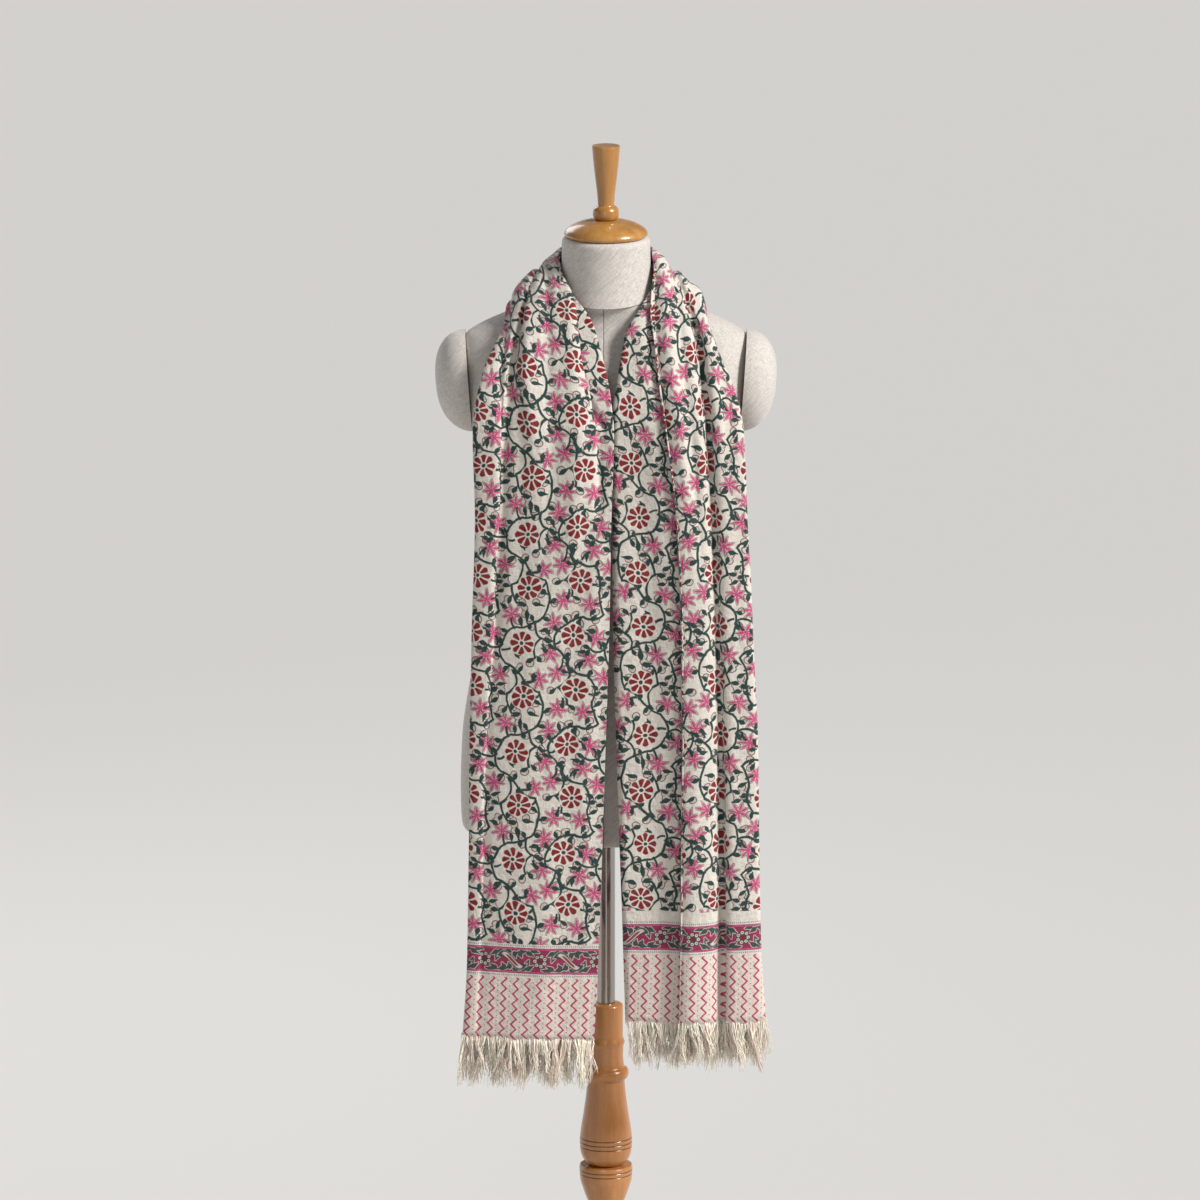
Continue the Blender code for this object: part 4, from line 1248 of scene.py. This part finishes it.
def grooved(rows, middle):
    """The rows of a profile with a groove cut at this height."""
    heights, radii = zip(*rows)
    cut = []
    for shift, depth in GROOVE_SHAPE:
        height = middle + shift * GROOVE_HALF
        cut.append((height, float(np.interp(height, heights, radii)) - depth * GROOVE_DEPTH))
    kept = [row for row in rows if not cut[0][0] < row[0] < cut[-1][0]]
    return sorted(kept + cut)


def turned(name, profile, finish, sides=64, finer=6, grooves=()):
    """A piece turned on the stand's axis, with incised rings."""
    rows = [tuple(row) for row in smooth_rows(profile, finer)]
    for groove in grooves:
        rows = grooved(rows, groove)
    rings = []
    for height, radius in rows:
        rings.append([(radius * math.cos(turn), radius * math.sin(turn), height) for turn in turns(sides)])
    return ring_object(name, rings, finish, 60)


def wood_finish(name, light, dark, ring_heights=()):
    """Honey-coloured varnished wood with its grain along the turned axis."""
    finish, tree, shader = new_finish(name, light, 0.30, {"Coat Weight": 0.5, "Coat Roughness": 0.12})
    spot = object_place(tree)
    grain = noise(tree, spot, 90.0, 4.0, 0.65, (1.0, 1.0, 0.06))
    clouds = noise(tree, spot, 16.0, 2.0, 0.5, (1.0, 1.0, 0.35))
    pores = noise(tree, spot, 620.0, 2.0, 0.6, (1.0, 1.0, 0.05))
    amount = (grain * 0.75 + clouds * 0.65 - 0.42).math("MULTIPLY", 1.9, clamp=True)
    colour = mixed(light, dark, amount)
    fleck = (pores - 0.60).math("MULTIPLY", 5.0, clamp=True) * 0.35
    colour = mixed(colour, tuple(0.45 * part for part in dark), fleck)
    if ring_heights:
        z = parts_of(spot)[2]
        rings = lowest(abs(z - height) - GROOVE_HALF for height in ring_heights)
        # The incised rings are coloured darker than the wood round them.
        colour = mixed(colour, GROOVE_DARKENING, rings.ink(0.0005) * 0.8)
    tree.links.new(colour, shader.inputs["Base Color"])
    add_bump(tree, shader, grain + pores * 0.4, 0.0003, 0.35)
    return finish


def steel_finish():
    """Polished tube with faint drawing marks."""
    finish, tree, shader = new_finish("polished steel", (0.42, 0.395, 0.37), 0.16, {"Metallic": 1.0})
    marks = noise(tree, object_place(tree), 800.0, 3.0, 0.6, (1.0, 1.0, 0.02))
    tree.links.new((marks * 0.12 + 0.10).socket, shader.inputs["Roughness"])
    add_bump(tree, shader, marks, 0.00005, 0.3)
    return finish


# ---------------------------------------------------------------- build


def show(piece, slot, *nodes):
    """The piece rides on the part and stands for these solids; slot is not used."""
    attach(piece, "root")
    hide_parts(*nodes)
    return piece


linen = linen_finish()
honey = wood_finish("honey wood", HONEY_LIGHT, HONEY_DARK)
column_wood = wood_finish("column wood", COLUMN_LIGHT, COLUMN_DARK, COLUMN_GROOVES + CUP_GROOVES)
steel = steel_finish()
thread = thread_finish()

show(add_torso(linen), "linen", "form_torso")
show(add_neck(linen), "linen", "form_neck")
show(add_shoulder_cap("cap_cover_left", -1, linen), "linen", "form_shoulder_cap_left")
show(add_shoulder_cap("cap_cover_right", 1, linen), "linen", "form_shoulder_cap_right")
show(turned("neck_disc", NECK_CAP, honey), "wood", "neck_cap")
show(turned("handle", FINIAL, honey, 48), "wood", "finial")
show(turned("turned_column", COLUMN, column_wood, grooves=COLUMN_GROOVES), "wood", "column")
show(turned("turned_cup", COLUMN_CUP, column_wood, grooves=CUP_GROOVES), "wood", "column_cup")
show(turned("round_base", BASE, column_wood, 96), "wood", "base")
show(turned("steel_tube", POLE, steel, 48, 1), "steel", "pole")
fringe_left = show(add_fringe("threads_left", LEFT, -1, left_grid, thread, 11), "thread", "fringe_left")
fringe_right = show(add_fringe("threads_right", RIGHT, 1, right_grid, thread, 12), "thread", "fringe_right")
shawl = show(add_cloth(cloth_finish()), "cloth", "shawl_left_drop", "shawl_right_drop", "shawl_nape")

# ---------------------------------------------------------------- the studio

FLOOR_RADIUS = 24.0
FLOOR_RISE = 5.0  # the height and radius of the curve at its edge
FLOOR_MARGIN = 2.0  # a flat ring inside that curve, which keeps its shading off the middle
FLOOR_SIDES = 128
FLOOR_STEPS = 16


def add_floor():
    """A round pale floor whose far edge curves up, so that low views meet no dark horizon."""
    finish = new_finish("studio floor", (0.64, 0.635, 0.625), 0.95, {})[0]
    profile = [(FLOOR_RADIUS - FLOOR_MARGIN, 0.0)]
    for step in range(FLOOR_STEPS + 1):
        rise = math.pi / 2 * step / FLOOR_STEPS
        profile.append((FLOOR_RADIUS + FLOOR_RISE * math.sin(rise), FLOOR_RISE * (1 - math.cos(rise))))
    points = []
    for radius, height in profile:
        points += [(radius * math.cos(turn), radius * math.sin(turn), height) for turn in turns(FLOOR_SIDES)]
    faces = [tuple(range(FLOOR_SIDES))]
    for low in range(0, len(points) - FLOOR_SIDES, FLOOR_SIDES):
        for side in range(FLOOR_SIDES):
            after = (side + 1) % FLOOR_SIDES
            high = low + FLOOR_SIDES
            faces.append((low + side, high + side, high + after, low + after))
    mesh_object("studio_floor", points, faces, finish)


def aim(made, way, axis):
    """Turns an object so that this axis of it points this way."""
    made.rotation_mode = "QUATERNION"
    made.rotation_quaternion = way.to_track_quat(axis, "Y")


CHEST = Vector((0.0, 0.0, 1.05))


def add_light(name, place, size, power, colour):
    """A square lamp that faces the chest."""
    light = bpy.data.lights.new(name, "AREA")
    light.shape = "RECTANGLE"
    light.size = size
    light.size_y = size
    light.energy = power
    light.color = colour
    made = add_object(name, light)
    made.location = place
    aim(made, CHEST - Vector(place), "-Z")


KEY_AZIMUTH = math.radians(65.0)  # round from the front towards the right
KEY_ELEVATION = math.radians(37.0)
KEY_SOFTNESS = math.radians(18.0)
KEY_STRENGTH = 4.3


def add_key():
    """An even, soft key light from the right, so that the folds stand out."""
    light = bpy.data.lights.new("key", "SUN")
    light.energy = KEY_STRENGTH
    light.angle = KEY_SOFTNESS
    light.color = (1.0, 0.975, 0.94)
    level = math.cos(KEY_ELEVATION)
    towards = (level * math.sin(KEY_AZIMUTH), -level * math.cos(KEY_AZIMUTH), math.sin(KEY_ELEVATION))
    aim(add_object("key", light), Vector(towards), "Z")


add_floor()
add_key()
add_light("front", (-0.6, -3.6, 2.2), 1.4, 11.0, (1.0, 0.99, 0.97))
add_light("back", (-1.2, 2.4, 2.4), 1.2, 15.0, (1.0, 1.0, 1.0))

world = bpy.data.worlds.new("studio")
world.use_nodes = True
world.node_tree.nodes["Background"].inputs["Color"].default_value = (0.80, 0.82, 0.85, 1.0)
world.node_tree.nodes["Background"].inputs["Strength"].default_value = 0.22
bpy.context.scene.world = world
bpy.context.scene.view_settings.view_transform = "Standard"
bpy.context.scene.view_settings.look = "None"

# The photograph's view: a long lens far off, tilted a little down.
CAMERA_DISTANCE = 14.0
CAMERA_PITCH = math.radians(12.5)
CAMERA_VIEW = math.radians(5.89)
LOOK_AT = Vector((-0.0072, 0.0, 0.9874))
camera = bpy.data.cameras.new("camera")
camera.sensor_width = 36.0
camera.lens = camera.sensor_width / 2 / math.tan(CAMERA_VIEW / 2)
camera.clip_end = 100.0
camera.dof.use_dof = False
camera_object = add_object("camera", camera)
from_target = Vector((0, -math.cos(CAMERA_PITCH), math.sin(CAMERA_PITCH)))
camera_object.location = LOOK_AT + from_target * CAMERA_DISTANCE
aim(camera_object, -from_target, "-Z")
bpy.context.scene.camera = camera_object
